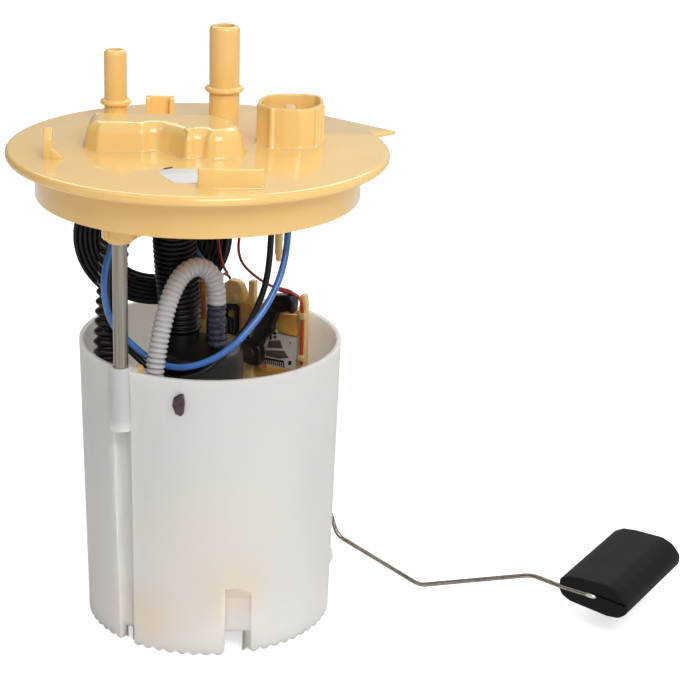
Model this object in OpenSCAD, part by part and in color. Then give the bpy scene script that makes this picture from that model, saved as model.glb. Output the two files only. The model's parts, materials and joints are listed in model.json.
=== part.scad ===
// In-tank electric fuel pump module: a tank flange on two guide rods over a swirl pot
// that holds the pump, the level sender with its float arm, hoses and leads.
// Origin: centre of the flange's sealing face. +Z points out of the tank.

/* [Tank flange] */
// Radius of the flange disc
flange_r = 76.8; // [74:0.1:84]
// Thickness of the flange disc
flange_t = 4; // [3:0.1:6]
// Rounding of the disc's edge
flange_edge = 1.6; // [0.5:0.1:1.9]
// Outer radius of the spigot that enters the tank opening
spigot_r = 65.4; // [64.5:0.1:68]
// Wall of the spigot
spigot_wall = 3; // [2:0.1:3.4]
// Depth of the spigot below the disc
spigot_depth = 15.4; // [10:0.1:18]
// Height of the hose channel above the disc
hump_h = 11; // [7:0.1:14]
// Wall of the hose channel and of the connector shroud
hump_wall = 2; // [1.4:0.1:2.6]
// Reach of the pointer past the disc's edge
pointer_reach = 9.9; // [5:0.1:14]
// Height of the front plate
front_plate_h = 7.6; // [4:0.1:11]
// Length of the locating peg below the disc
peg_l = 43.5; // [20:0.5:48]
// Radius of the locating peg
peg_r = 1.6; // [1.2:0.1:2]

/* [Fuel nipples] */
// Radius of the feed nipple
feed_r = 6.3; // [5.9:0.05:6.4]
// Height of the feed nipple above the disc
feed_h = 42.3; // [30:0.1:50]
// Height of the feed nipple's bead
feed_bead_z = 16; // [10:0.1:20]
// Radius of the return nipple
return_r = 4.75; // [3.95:0.05:5]
// Height of the return nipple above the disc
return_h = 30.2; // [24:0.1:40]
// Height of the return nipple's bead
return_bead_z = 8.3; // [6:0.1:12]
// Height of a bead over its nipple
bead_rise = 1.8; // [1:0.1:2.4]
// Wall of both nipples
nipple_wall = 1.9; // [1.4:0.1:2.4]

/* [Connector] */
// Height of the connector shroud above the disc
shroud_h = 16.2; // [12:0.1:20]
// Depth of the connector's floor below its mouth
socket_depth = 13; // [8:0.1:15]
// Length of the contact blades above that floor
blade_l = 9; // [6:0.1:11]

/* [Guide rods] */
// Radius of a guide rod
rod_r = 3; // [2.4:0.1:3.3]
// Distance of the rods from the pot's axis
rod_ring_r = 53.8; // [53:0.1:54.4]
// Travel of the flange down the rods
travel = 28; // [15:0.5:30]
// Wire radius of the lift spring
spring_wire_r = 0.6; // [0.4:0.05:0.7]
// Mean radius of the lift spring
spring_r = 4.6; // [4.4:0.05:5]

/* [Swirl pot] */
// Height of the pot
pot_h = 120.8; // [118:0.1:123]
// Outer radius of the rim
pot_rim_r = 54; // [53.8:0.1:55]
// Outer radius of the foot
pot_foot_r = 51.4; // [50.8:0.1:53]
// Wall of the pot
pot_wall = 2; // [1.6:0.1:2.2]
// Height of the floor above the foot
floor_z = 9; // [7:0.1:10]
// Thickness of the floor
floor_t = 2; // [1.5:0.1:2.2]
// Number of teeth round the foot
foot_teeth = 64; // [36:1:80]
// Length of the rod sleeves
sleeve_l = 26.4; // [20:0.2:34]
// Rise of the rod sleeves over the rim
sleeve_rise = 1.3; // [1:0.1:5]
// Width of the front notch
notch_w = 10.8; // [8:0.1:13]

/* [Pump] */
// Outer radius of the pump's steel shell
pump_r = 16; // [15.4:0.1:16.3]
// Wall of the steel shell
pump_wall = 1.4; // [1:0.1:1.6]
// Outer radius of the cap and of the holder
cap_r = 18.8; // [18.6:0.1:19.2]
// Wall of the cap and of the holder
cap_wall = 1.7; // [1.4:0.1:1.8]
// Height of the cap's top above the foot
cap_top_z = 119; // [118:0.1:120]
// Radius of the rotor
rotor_r = 10.6; // [9:0.1:10.9]
// Length of the rotor's iron core
core_l = 30; // [24:0.5:31]
// Radius of the rotor shaft
shaft_r = 1.5; // [1.2:0.1:2]
// Radius of the impeller
impeller_r = 12; // [10:0.1:12.3]
// Thickness of the impeller
impeller_t = 4; // [3:0.1:4.4]
// Number of impeller vanes
vanes = 30; // [16:1:36]

/* [Level sender] */
// Height of the float arm's pivot above the foot
pivot_z = 102.4; // [100:0.1:104]
// Radius of the arm's wire
wire_r = 1; // [0.8:0.05:1.2]
// Width of the sender's base
base_w = 44; // [43:0.1:45]
// Thickness of the sender's base
base_t = 3.2; // [2.4:0.1:3.6]
// Length of the float
float_l = 60; // [40:0.5:66]

/* [Hoses and leads] */
// Outer radius of the feed hose
feed_hose_r = 9; // [7:0.1:9.2]
// Outer radius of the return hose
return_hose_r = 6; // [4.5:0.1:6.4]
// Outer radius of the translucent jet hose
jet_hose_r = 3.9; // [3.7:0.1:4.1]
// Radius of the two supply leads
lead_r = 1.4; // [1:0.1:1.7]
// Radius of the two sender leads
thin_lead_r = 0.65; // [0.5:0.05:0.75]
// Outer radius of the coiled vent line
coil_r = 33; // [28:0.1:33.4]
// Inner radius of the coiled vent line
coil_hole_r = 18.6; // [18:0.1:24]
// Thickness of the coil along its own axis
coil_t = 7; // [4:0.1:7.4]

/* [Fits] */
// Clearance between seated pieces of one body
seat = 0.1; // [0.05:0.05:0.2]
// Clearance between pieces that move past each other
run = 0.3; // [0.25:0.05:0.4]
// Radial clearance of a shaft in its bearing
bearing = 0.05; // [0.03:0.01:0.08]

/* [Hidden] */
$fn = 64;

// The pot's axis and foot, from the flange's origin
pot_at = [5.3, -0.3, -197.2];
// Directions of the two guide rods round the pot's axis
rod_front_angle = -130.5;
rod_rear_angle = 90;
// The rods' heights above the pot's foot
sleeve_top_z = pot_h + sleeve_rise;
sleeve_foot_z = sleeve_top_z - sleeve_l;
boss_r = rod_r + 4;
boss_tip_r = rod_r + 2;
boss_l = 22.3;
boss_tip_l = 1.6;
boss_foot_z = -pot_at[2] - boss_l - boss_tip_l;
rod_foot_z = sleeve_foot_z + 3.3;
rod_socket_l = boss_l + boss_tip_l - 2;
clip_t = 1.2;
sleeve_wall = 1.35;
groove_r = rod_r + 1.6;
// Nipples and hose channel, from the flange's axis
feed_at = [10.1, 33];
return_at = [-35, 40];
feed_port_at = [-10, -3];
return_port_at = [-32, -1];
port_l = 11;
port_bore_r = 4.6;
return_bore_r = 2.7;
pointer_t = 1.8;
// Ducts under the disc, from each hose port to its nipple
duct_deep = 6.2;
duct_z = -2.8;
feed_duct_r = 2.3;
return_duct_r = 1.9;
duct_wall = 1.5;
// The low plate at the front, and the sticker behind it, keep to the disc's edge
plate_y = 12.2 - flange_r;
// The pump's axis, from the pot's axis
pump_at = [-5.3, -8];
holder_z = floor_z + floor_t + 1;
shell_z = 20;
shell_l = 70;
cover_l = 7;
chamber_z = shell_z + cover_l;
chamber_wall_t = 3.6;
impeller_gap = 0.3;
chamber_l = impeller_t + 2 * impeller_gap + chamber_wall_t;
winding_l = 2.4;
winding_z = chamber_z + chamber_l + 0.6;
core_z = winding_z + winding_l;
commutator_z = core_z + core_l + winding_l + 0.4;
commutator_l = 6;
commutator_r = 6;
brush_cap_z = commutator_z;
brush_cap_top_z = shell_z + shell_l;
outlet_r = 5;
outlet_bore_r = 3.5;
outlet_l = 18;
barb_r = 2.6;
jet_port_at = [7.7, -2];
feed_stub_at = [-7.7, 9];
cap_z = 75;
// The level sender's frame: x across its face, y out through the pot's wall
sender_turn = 32;
pivot_x = -2;
arm_y = 57.4;
lever_front_y = 33.4;
lever_t = 5.6;
base_low_z = 88;
function pot_bore_r(z) = pot_foot_r + (pot_rim_r - pot_foot_r) * z / pot_h - pot_wall;
base_back_y = sqrt(pow(pot_bore_r(base_low_z) - run, 2) - pow(base_w / 2, 2));
base_front_y = base_back_y - base_t;
post_x = base_w / 2 - 2.8;
post_w = 5.2;
post_top_z = base_low_z + 42.6;
post_lead_y = base_front_y - 2.9;
function from_sender(x, y, z) = [
  x * cos(sender_turn) + y * sin(sender_turn), -x * sin(sender_turn) + y * cos(sender_turn), z,
];
// Arm bends, from the pivot: x across, z up
arm_bends = [[0, 0], [33, -87.2], [75, -100.8], [127.7, -82.1], [140.7, -83.8], [155.8, -84.6]];
float_outline = [
  [140.3, -80.6], [144.4, -78.4], [150, -77.9], [162.6, -78.2], [166.7, -80.4], [171.1, -84.4],
  [171.7, -88.6], [169, -91.2], [163.6, -92.4], [145.4, -89.8], [142, -88], [140.1, -85],
];
// Routes of the hoses and leads, from the pot's axis and foot
hose_top_z = -pot_at[2] - port_l - run;
hose_foot_z = 46.4;
jet_ends = [[-34, -20], [-23, -30]];
feed_hose_route = [
  [-13, 1, 131.4], [-13.6, 1.2, 141], [-14.4, 0.8, 152], [-15, -0.4, 163], [-15.3, -2, 173],
  [-15.3, -2.7, 180], [feed_port_at[0] - pot_at[0], feed_port_at[1] - pot_at[1], hose_top_z],
];
return_hose_route = [
  [return_port_at[0] - pot_at[0], return_port_at[1] - pot_at[1], hose_top_z], [-37.3, -0.8, 180],
  [-37.6, -1.8, 173], [-38.6, -3.2, 163], [-39.8, -4.2, 150], [-41, -5.4, 136], [-41.8, -7.4, 122],
  [-41.6, -10.6, 108], [-40, -14, 94], [-37.4, -17.4, 78], [-35.2, -19.4, 62],
  [jet_ends[0][0], jet_ends[0][1], hose_foot_z],
];
jet_hose_route = [
  [2.4, -10, 136.4], [2.4, -10, 140.6], [2, -10, 144.8], [0.8, -10, 149], [-1.7, -10.3, 152.4],
  [-5.4, -11.6, 154.1], [-9.2, -13.9, 153.4], [-12.4, -16.6, 150.8], [-15, -19.6, 146.6],
  [-17.2, -22.8, 141], [-18.9, -25.6, 134.2], [-20.5, -27.8, 126.4], [-21.9, -29.4, 117],
  [-22.8, -30, 106], [-23.2, -30, 92], [-23.2, -30, 76], [-23, -30, 60],
  [jet_ends[1][0], jet_ends[1][1], hose_foot_z],
];
blue_route = [
  [31.4, -4, 196.6], [31.2, -4.6, 184], [31, -6, 170], [30.2, -9, 160], [27.6, -14, 150.4],
  [22.4, -20, 140.8], [15.6, -25, 132.6], [8, -28.4, 125.6], [-1, -30.2, 120.4], [-10, -29, 117.4],
  [-17.6, -24.9, 116.4], [-22.4, -21.9, 117.2], [-27.6, -20.4, 120.2], [-33, -20, 125.2],
  [-38.2, -19.6, 130.6], [-41.2, -19.2, 138], [-42.4, -18.8, 147], [-41.6, -17.6, 156], [-39, -16, 165],
  [-36.6, -14.6, 176], [-35.4, -14, 196.6],
];
black_route = [
  [24.6, -8, 196.6], [24.4, -10, 182], [24, -12, 167], [23, -14, 154], [20.8, -16.4, 144.6],
  [16.2, -19.8, 134.4], [10.2, -23.4, 126.4], [4, -26.6, 120.6], [-2, -29.2, 116.2], [-9.6, -29.4, 113.2],
  [-15.2, -27, 111.8], [-19.2, -24, 111.6], [-23.6, -20.8, 113.2], [-28, -18.6, 116.2],
  [-33, -17.4, 121], [-37, -16.2, 126.6], [-39, -15.4, 134], [-39.6, -14.8, 145],
  [-38.6, -13.8, 156], [-36, -12.4, 165], [-33, -11, 176], [-31.6, -10.4, 196.6],
];
red_left_route = [
  [2.2, 0, 196.6], [2.2, 1, 180], [2.4, 3, 166], [3.2, 5.6, 156.6], [4.3, 9, 149.8], [5.2, 11.6, 146.8],
  [6.1, 14.2, 144.2], [6.6, 19, 142.2], [6.6, 26, 139.6], [6.4, 33, 136.8],
  from_sender(-17.5, base_front_y - 4.6, 134.2), from_sender(-17.3, base_front_y - 1.4, 132.4),
  from_sender(-17.2, base_front_y - 0.4, 131),
];
red_right_route = [
  [12.8, -4, 196.6], [12.6, -3, 180], [11.6, -1, 166], [11.2, 2, 157], [13.2, 7, 149.6],
  from_sender(post_x - 9.8, post_lead_y - 21, post_top_z + 12.8),
  from_sender(post_x - 7.1, post_lead_y - 14.7, post_top_z + 7.8),
  from_sender(post_x - 4.9, post_lead_y - 9.2, post_top_z + 4.6),
];
red_post_route = [
  from_sender(post_x - 2.3, post_lead_y - 3.6, post_top_z + 2),
  from_sender(post_x - 0.6, post_lead_y - 0.9, post_top_z - 0.8),
  from_sender(post_x, post_lead_y, post_top_z - 5.6), from_sender(post_x, post_lead_y, post_top_z - 18.6),
  from_sender(post_x, post_lead_y, post_top_z - 31.2),
];
coil_centre = [-24.3, 16, 159];
coil_lean = 9.6;

function unit(v) = v / norm(v);

// A smooth curve through the points of a route, with a few steps between each pair
function curve_at(a, b, c, d, t) =
  b + 0.5 * t * (c - a + t * (2 * a - 5 * b + 4 * c - d + t * (3 * (b - c) + d - a)));
function smooth(p, steps) = concat(
  [for (i = [0 : len(p) - 2], j = [0 : steps - 1])
    curve_at(p[max(i - 1, 0)], p[i], p[i + 1], p[min(i + 2, len(p) - 1)], j / steps)],
  [p[len(p) - 1]]);
function tangent(p, i) = unit(p[min(i + 1, len(p) - 1)] - p[max(i - 1, 0)]);
function squared(n, t) = unit(n - (n * t) * t);
function normals(p, i, n) = i == len(p) ? [] :
  let (m = squared(n, tangent(p, i))) concat([m], normals(p, i + 1, m));
function helix(r, turns, z0, z1, steps) = [for (i = [0 : turns * steps])
  let (a = 360 * i / steps) [r * cos(a), r * sin(a), z0 + (z1 - z0) * i / (turns * steps)]];

// A round tube or wire along a list of points
module sweep(p, r, sides = 8) {
  n = normals(p, 0, [0.31, 0.95, 0.02]);
  last = len(p) - 1;
  points = [for (i = [0 : last], j = [0 : sides - 1])
    let (a = 360 * j / sides, b = cross(tangent(p, i), n[i])) p[i] + r * (cos(a) * n[i] + sin(a) * b)];
  skin = [for (i = [0 : last - 1], j = [0 : sides - 1])
    let (k = (j + 1) % sides) [i * sides + j, (i + 1) * sides + j, (i + 1) * sides + k, i * sides + k]];
  start_cap = [for (j = [0 : sides - 1]) j];
  end_cap = [for (j = [sides - 1 : -1 : 0]) last * sides + j];
  polyhedron(points, concat([start_cap], skin, [end_cap]), convexity = 6);
}

// A straight round bar from point a to point b
module bar(a, b, r) {
  d = b - a;
  translate(a) rotate([0, acos(d[2] / norm(d)), atan2(d[1], d[0])]) cylinder(h = norm(d), r = r, $fn = 24);
}

module ring(outer, inner, h) {
  difference() {
    cylinder(h = h, r = outer);
    translate([0, 0, -1]) cylinder(h = h + 2, r = inner);
  }
}

// Places from which the pieces are drawn
module in_pot() { translate(pot_at) children(); }
module in_pump() { in_pot() translate([pump_at[0], pump_at[1], 0]) children(); }
module in_sender() { in_pot() rotate([0, 0, -sender_turn]) children(); }
module at_rod(angle) { in_pot() rotate([0, 0, angle]) translate([rod_ring_r, 0, 0]) children(); }

// Flange pieces

module disc_profile() {
  e = flange_edge;
  union() {
    square([flange_r - e, flange_t]);
    translate([0, e]) square([flange_r, flange_t - 2 * e]);
    translate([flange_r - e, e]) circle(r = e, $fn = 32);
    translate([flange_r - e, flange_t - e]) circle(r = e, $fn = 32);
  }
}

// Plan of the raised hose channel: a straight block on the left, a scooped wall, a lobed boss on the right
module hump_plan(inset = 0) {
  module spot(x, y, r) { translate([x, y]) circle(r = r - inset, $fn = 32); }
  difference() {
    union() {
      translate([-44.6 + inset, -7 + inset]) square([46 - 2 * inset, 19.4 - 2 * inset]);
      translate([-21.4 - inset, -11.9 + inset]) square([23.7, 8]);
      polygon([
        [-44.6 + inset, -6.6 + inset], [-39.8 + 0.4 * inset, -12 + inset], [-21.4 - inset, -12 + inset],
        [-21.4 - inset, 2], [-44.6 + inset, 2],
      ]);
      spot(6.4, -9.6, 12);
      spot(-5.2, -17.8, 3.4);
      spot(5.4, -18.4, 3.4);
      spot(4, 1.9, 10.5);
    }
    translate([-14, -20.6]) circle(r = 10.6 + inset, $fn = 48);
  }
}

module connector_plan(grow = 0) {
  polygon([
    [23.1 - grow, 5.2 - 0.4 * grow], [28.8 - 0.5 * grow, -1.4 - grow], [34, -3.2 - grow], [41, -3.8 - grow],
    [46 + 0.6 * grow, -1.2 - 0.8 * grow], [50.3 + grow, 7.4], [50.2 + grow, 18],
    [48.4 + 0.8 * grow, 23 + 0.7 * grow], [42.8, 25.2 + grow], [35.5, 25.4 + grow],
    [27.2 - 0.6 * grow, 22.4 + 0.8 * grow], [24.4 - grow, 15],
  ]);
}

module nipple(r, h, bead_z) {
  tip = 2;
  translate([0, 0, flange_t - 0.5]) cylinder(h = h - tip + 0.5, r = r);
  translate([0, 0, flange_t + h - tip]) cylinder(h = tip, r1 = r, r2 = r - 1.3);
  translate([0, 0, flange_t + bead_z]) rotate_extrude() translate([r - 0.4, 0]) circle(r = bead_rise, $fn = 32);
}

module pointer_tip() {
  tip_r = flange_r + pointer_reach;
  tip_angle = 19.7;
  touch = tip_angle + acos(flange_r / tip_r);
  translate([0, 0, flange_t - pointer_t]) linear_extrude(pointer_t) polygon([
    [0, 0], flange_r * [cos(touch), sin(touch)], tip_r * [cos(tip_angle), sin(tip_angle)],
    (flange_r - 1) * [cos(tip_angle - 2.7), sin(tip_angle - 2.7)],
  ]);
}

// The two chambers inside the channel, over the hose ports
module channel_plan() {
  difference() {
    hump_plan(hump_wall);
    translate([-24, -30]) square([hump_wall, 60]);
  }
}

// A duct under the disc from a hose port to the foot of a nipple, and the bore in it
module duct(from, to, r, foot_r) {
  d = to - from;
  half = r + duct_wall;
  translate([from[0], from[1], -duct_deep]) rotate([0, 0, atan2(d[1], d[0])])
    translate([0, -half, 0]) cube([norm(d), 2 * half, duct_deep + 1]);
  translate([to[0], to[1], -duct_deep]) cylinder(h = duct_deep + 1, r = foot_r + duct_wall);
}

module duct_bore(from, to, r) {
  d = to - from;
  translate([from[0], from[1], duct_z]) rotate([0, 0, atan2(d[1], d[0])]) rotate([0, 90, 0])
    cylinder(h = norm(d), r = r);
}

module flange() {
  color("burlywood") difference() {
    union() {
      rotate_extrude($fn = 128) disc_profile();
      pointer_tip();
      translate([0, 0, -spigot_depth]) difference() {
        cylinder(h = spigot_depth + 1, r = spigot_r, $fn = 128);
        translate([0, 0, -1]) cylinder(h = spigot_depth + 1, r = spigot_r - spigot_wall, $fn = 128);
      }
      linear_extrude(flange_t + hump_h) hump_plan();
      translate([feed_at[0], feed_at[1], 0]) nipple(feed_r, feed_h, feed_bead_z);
      translate([return_at[0], return_at[1], 0]) nipple(return_r, return_h, return_bead_z);
      linear_extrude(flange_t + shroud_h) connector_plan();
      // Corner ridge of the shroud
      translate([29, -1.6, 0]) cylinder(h = flange_t + shroud_h, r = 1.4, $fn = 24);
      translate([48, 2.8, 0]) cylinder(h = flange_t + shroud_h, r = 1.5, $fn = 24);
      // Tab behind the channel
      translate([-22.4, 40, flange_t - 1]) cube([11.8, 2, 11.8]);
      for (x = [-22.4, -12.6]) translate([x, 0, flange_t - 1]) rotate([90, 0, 90]) linear_extrude(2)
        polygon([[34.6, 0], [41, 0], [41, 11.8], [36.6, 11.8], [35.6, 2.4]]);
      // Low plate at the front and small wedge at the left
      translate([0.6, plate_y, flange_t - 1]) cube([24.8, 2.2, front_plate_h + 1]);
      translate([-60.3, 0, flange_t - 1]) rotate([90, 0, 90]) linear_extrude(3.1)
        polygon([[-24, 0], [-17, 0], [-17, 12.5], [-24, 9.2]]);
      translate([0, -21.5, flange_t - 1]) rotate([90, 0, 0]) linear_extrude(2.5)
        polygon([[-57.6, 0], [-51.2, 0], [-57.6, 9.2]]);
      // Rod bosses, peg and hose ports under the disc
      for (angle = [rod_front_angle, rod_rear_angle]) at_rod(angle) translate([0, 0, boss_foot_z]) {
        cylinder(h = boss_tip_l + 1, r = boss_tip_r);
        translate([0, 0, boss_tip_l]) cylinder(h = boss_l + 1, r = boss_r);
      }
      translate([32.8, -0.3, 1 - peg_l]) cylinder(h = peg_l, r = peg_r, $fn = 24);
      translate([32.8, -0.3, 1 - peg_l]) sphere(r = peg_r, $fn = 24);
      translate([feed_port_at[0], feed_port_at[1], -port_l]) cylinder(h = port_l + 1, r = 7);
      translate([return_port_at[0], return_port_at[1], -port_l]) cylinder(h = port_l + 1, r = 4.6);
      duct(feed_port_at, feed_at, feed_duct_r, feed_r - nipple_wall);
      duct(return_port_at, return_at, return_duct_r, return_r - nipple_wall);
    }
    // Chambers over the hose ports, and the bores from the ports to the nipples
    translate([0, 0, 2]) linear_extrude(flange_t + hump_h - hump_wall - 2) channel_plan();
    translate([feed_port_at[0], feed_port_at[1], -port_l - 1]) cylinder(h = port_l + 4, r = port_bore_r);
    translate([return_port_at[0], return_port_at[1], -port_l - 1]) cylinder(h = port_l + 4, r = return_bore_r);
    for (n = [[feed_at, feed_r, feed_h], [return_at, return_r, return_h]])
      translate([n[0][0], n[0][1], duct_z]) cylinder(h = flange_t - duct_z + n[2] + 1, r = n[1] - nipple_wall);
    duct_bore(feed_port_at, feed_at, feed_duct_r);
    duct_bore(return_port_at, return_at, return_duct_r);
    // Mouth of the connector
    translate([0, 0, flange_t + shroud_h - socket_depth]) linear_extrude(socket_depth + 1) connector_plan(-hump_wall);
    // Sockets for the rods
    for (angle = [rod_front_angle, rod_rear_angle]) at_rod(angle)
      translate([0, 0, boss_foot_z - 1]) cylinder(h = rod_socket_l + 1, r = rod_r + seat);
  }
}

module connector_pins() {
  floor_at = flange_t + shroud_h - socket_depth;
  color("goldenrod") for (x = [30.5, 35, 39.5, 44]) translate([x - 0.4, 8, floor_at]) cube([0.8, 6, blade_l]);
}

module flange_sticker() {
  color("white") translate([0, 0, flange_t]) linear_extrude(0.2) intersection() {
    translate([-4, plate_y + 17.6]) rotate([0, 0, 8]) square([26, 15], center = true);
    translate([-2, plate_y + 18.6]) circle(r = 13.4);
  }
}

module guide_rod(foot_z) {
  top_z = boss_foot_z + rod_socket_l - seat;
  color("silver") difference() {
    translate([0, 0, foot_z]) cylinder(h = top_z - foot_z, r = rod_r);
    if (foot_z < sleeve_foot_z) translate([0, 0, sleeve_foot_z - run - clip_t]) ring(rod_r + 1, rod_r - 0.6, clip_t);
  }
}

module guide_rod_front() { at_rod(rod_front_angle) guide_rod(rod_foot_z); }
module guide_rod_rear() { at_rod(rod_rear_angle) guide_rod(sleeve_foot_z - 5); }

module rod_clip() {
  color("dimgray") at_rod(rod_rear_angle) translate([0, 0, sleeve_foot_z - run - clip_t + seat]) difference() {
    ring(groove_r - run, rod_r - 0.6 + seat, clip_t - 2 * seat);
    translate([0, -1.5, -1]) cube([10, 3, 4]);
  }
}

module lift_spring() {
  turns = 8;
  steps = 14;
  low = sleeve_top_z + spring_wire_r + run;
  high = boss_foot_z - spring_wire_r - run;
  color("gray") at_rod(rod_rear_angle) sweep(helix(spring_r, turns, low, high, steps), spring_wire_r, 6);
}

module vent_coil() {
  color("black") in_pot() translate(coil_centre) rotate([90 + coil_lean, 0, 0])
    translate([0, 0, -coil_t / 2]) ring(coil_r, coil_hole_r, coil_t);
}

module coil_tie() {
  band = 1.2;
  w = 6;
  low = sqrt(pow(coil_hole_r, 2) - pow(w / 2, 2)) - seat;
  wide = coil_r - low + seat;
  deep = coil_t + 2 * seat;
  hang = -pot_at[2] - coil_centre[2];
  color("black") in_pot() translate(coil_centre) {
    rotate([coil_lean, 0, 0]) translate([-w / 2, 0, 0]) difference() {
      translate([0, -deep / 2 - band, low - band]) cube([w, deep + 2 * band, wide + 2 * band]);
      translate([-1, -deep / 2, low]) cube([w + 2, deep, wide + 1.4]);
      translate([-1, -deep, coil_r + 2]) cube([w + 2, 2 * deep, 4]);
    }
    translate([-w / 2, -deep / 2 - 8, hang - 4]) cube([w, 4, 4 - seat]);
    translate([-w / 2, -deep / 2 - 8, coil_r - 3.2]) cube([w, 2, hang - coil_r + 3.2 - seat]);
  }
}

module feed_hose() {
  stub_z = cap_top_z + 12;
  color("black") in_pot() {
    sweep(smooth(feed_hose_route, 2), feed_hose_r, 12);
    translate([pump_at[0] + feed_stub_at[0], pump_at[1] + feed_stub_at[1], cap_top_z + 4 + seat])
      ring(feed_hose_r + 0.2, 5.1, stub_z - cap_top_z - 3.5);
  }
}

module return_hose() {
  color("black") in_pot() {
    sweep(smooth(return_hose_route, 2), return_hose_r, 12);
    translate([jet_ends[0][0], jet_ends[0][1], hose_foot_z - 16.4]) ring(return_hose_r + 0.2, 3.1, 17);
  }
}

module blue_lead() { color("royalblue") in_pot() sweep(smooth(blue_route, 2), lead_r, 8); }
module black_lead() { color("black") in_pot() sweep(smooth(black_route, 2), lead_r, 8); }
module red_lead_left() { color("firebrick") in_pot() sweep(smooth(red_left_route, 3), thin_lead_r, 8); }

module red_lead_right() {
  color("firebrick") in_pot() {
    sweep(smooth(red_right_route, 3), thin_lead_r, 8);
    sweep(smooth(red_post_route, 3), thin_lead_r, 8);
  }
}

module lead_splice() {
  from = red_right_route[len(red_right_route) - 1];
  to = red_post_route[0];
  step = seat * unit(to - from);
  color("darkred") in_pot() bar(from + step, to - step, thin_lead_r + 0.6);
}

// Swirl pot pieces

module pot_cone(inset, z0, z1) {
  slope = (pot_rim_r - pot_foot_r) / pot_h;
  translate([0, 0, z0]) cylinder(h = z1 - z0, r1 = pot_foot_r + slope * z0 - inset,
    r2 = pot_foot_r + slope * z1 - inset, $fn = 128);
}

module notch_profile(depth, top, z0) {
  rotate([90, 0, 90]) linear_extrude(notch_w + 2 * depth, center = true)
    polygon([[-4, z0], [3 + depth, z0], [3 + depth, top], [depth, top + 6], [-4, top + 6]]);
}

module swirl_pot() {
  notch_x = 12.2;
  notch_y = -sqrt(pow(pot_foot_r + 0.4, 2) - pow(notch_x, 2));
  floor_top = floor_z + floor_t;
  color("gainsboro") in_pot() difference() {
    union() {
      difference() {
        pot_cone(0, 0, pot_h);
        pot_cone(pot_wall, floor_top, pot_h + 1);
        translate([0, 0, -1]) cylinder(h = floor_z + 1, r = pot_foot_r - pot_wall, $fn = 128);
      }
      intersection() {
        pot_cone(seat, 0, pot_h);
        union() {
          for (angle = [rod_front_angle, rod_rear_angle]) rotate([0, 0, angle])
            translate([rod_ring_r, 0, floor_z - 3]) cylinder(h = pot_h - floor_z + 3, r = groove_r + pot_wall);
          translate([notch_x, notch_y, 0]) notch_profile(pot_wall, 24, floor_z);
        }
      }
      for (angle = [rod_front_angle, rod_rear_angle]) rotate([0, 0, angle]) translate([rod_ring_r, 0, sleeve_foot_z])
        cylinder(h = sleeve_l, r = rod_r + sleeve_wall);
    }
    for (angle = [rod_front_angle, rod_rear_angle]) rotate([0, 0, angle]) translate([rod_ring_r, 0, -1]) {
      cylinder(h = sleeve_foot_z + 1, r = groove_r);
      cylinder(h = pot_h + sleeve_rise + 5, r = rod_r + bearing);
    }
    translate([notch_x, notch_y, 0]) notch_profile(0, 24, -1);
    for (i = [0 : foot_teeth - 1]) rotate([0, 0, 360 * i / foot_teeth + 2]) translate([pot_foot_r, 0, 0])
      rotate([45, 0, 0]) cube([10, 2.3, 2.3], center = true);
    // Foot valve seat: a stem hole with a ring of ports
    translate([16, -30, 0]) cylinder(h = 20, r = 2.4 + run);
    for (a = [0 : 60 : 300]) translate([16, -30, 0]) rotate([0, 0, a]) translate([4.6, 0, 0])
      cylinder(h = 20, r = 1.1, $fn = 24);
    // Float pivot passes through the wall
    rotate([0, 0, -sender_turn]) translate([pivot_x, 70, pivot_z]) rotate([90, 0, 0])
      cylinder(h = 30, r = wire_r + 1);
  }
}

module foot_valve() {
  floor_top = floor_z + floor_t;
  color("dimgray") in_pot() translate([16, -30, 0]) {
    translate([0, 0, floor_top + run]) cylinder(h = 1.2, r = 7);
    translate([0, 0, floor_z - 3]) cylinder(h = floor_t + run + 3.5, r = 2.4);
    translate([0, 0, floor_z - 4.2]) cylinder(h = 1.6, r = 3.2);
  }
}

module inlet_strainer() {
  floor_top = floor_z + floor_t;
  color("whitesmoke") in_pump() difference() {
    union() {
      translate([0, 0, floor_top + seat]) cylinder(h = 3.4, r = 14);
      translate([0, 0, floor_top + 3]) cylinder(h = 5, r = 7);
    }
    translate([0, 0, floor_top + 1.4]) cylinder(h = 10, r = outlet_r + seat);
  }
}

module pump_holder() {
  bore = cap_r - cap_wall;
  foot = floor_z + floor_t + seat;
  color("wheat") difference() {
    union() {
      in_pump() translate([0, 0, foot]) cylinder(h = cap_z - seat - foot, r = cap_r);
      // Latch strut that stands behind the cap
      in_pot() translate([-7.1, 11.4, 40]) cube([5, 3.2, 101]);
      in_pot() translate([-7.1, 9.4, 40]) cube([5, 3, 30]);
    }
    in_pump() translate([0, 0, foot - 1]) cylinder(h = cap_z, r = 14.2 + seat);
    in_pump() translate([0, 0, shell_z - seat]) cylinder(h = cap_z, r = bore);
    // Windows that let fuel in round the pump
    for (a = [45 : 90 : 315]) in_pump() rotate([0, 0, a]) translate([8, -5, 34]) cube([20, 10, 30]);
    for (a = [0 : 60 : 300]) in_pump() rotate([0, 0, a]) translate([8, -2.5, foot - 1]) cube([20, 5, 4]);
  }
}

module pump_shell() {
  color("lightsteelblue") in_pump() translate([0, 0, shell_z]) ring(pump_r, pump_r - pump_wall, shell_l);
}

module inlet_cover() {
  bore = pump_r - pump_wall - seat;
  color("silver") in_pump() difference() {
    union() {
      translate([0, 0, shell_z]) cylinder(h = cover_l, r = bore);
      translate([0, 0, shell_z - 4]) cylinder(h = 5, r = outlet_r);
    }
    translate([0, 0, shell_z - 5]) cylinder(h = 8, r = 3);
    translate([6, 0, shell_z + 2]) cylinder(h = cover_l, r = 1.6, $fn = 24);
    translate([-1, -1.6, shell_z + 2]) cube([8, 3.2, 1.6]);
    translate([0, 0, shell_z + cover_l - 3]) cylinder(h = 4, r = shaft_r + bearing);
  }
}

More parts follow.
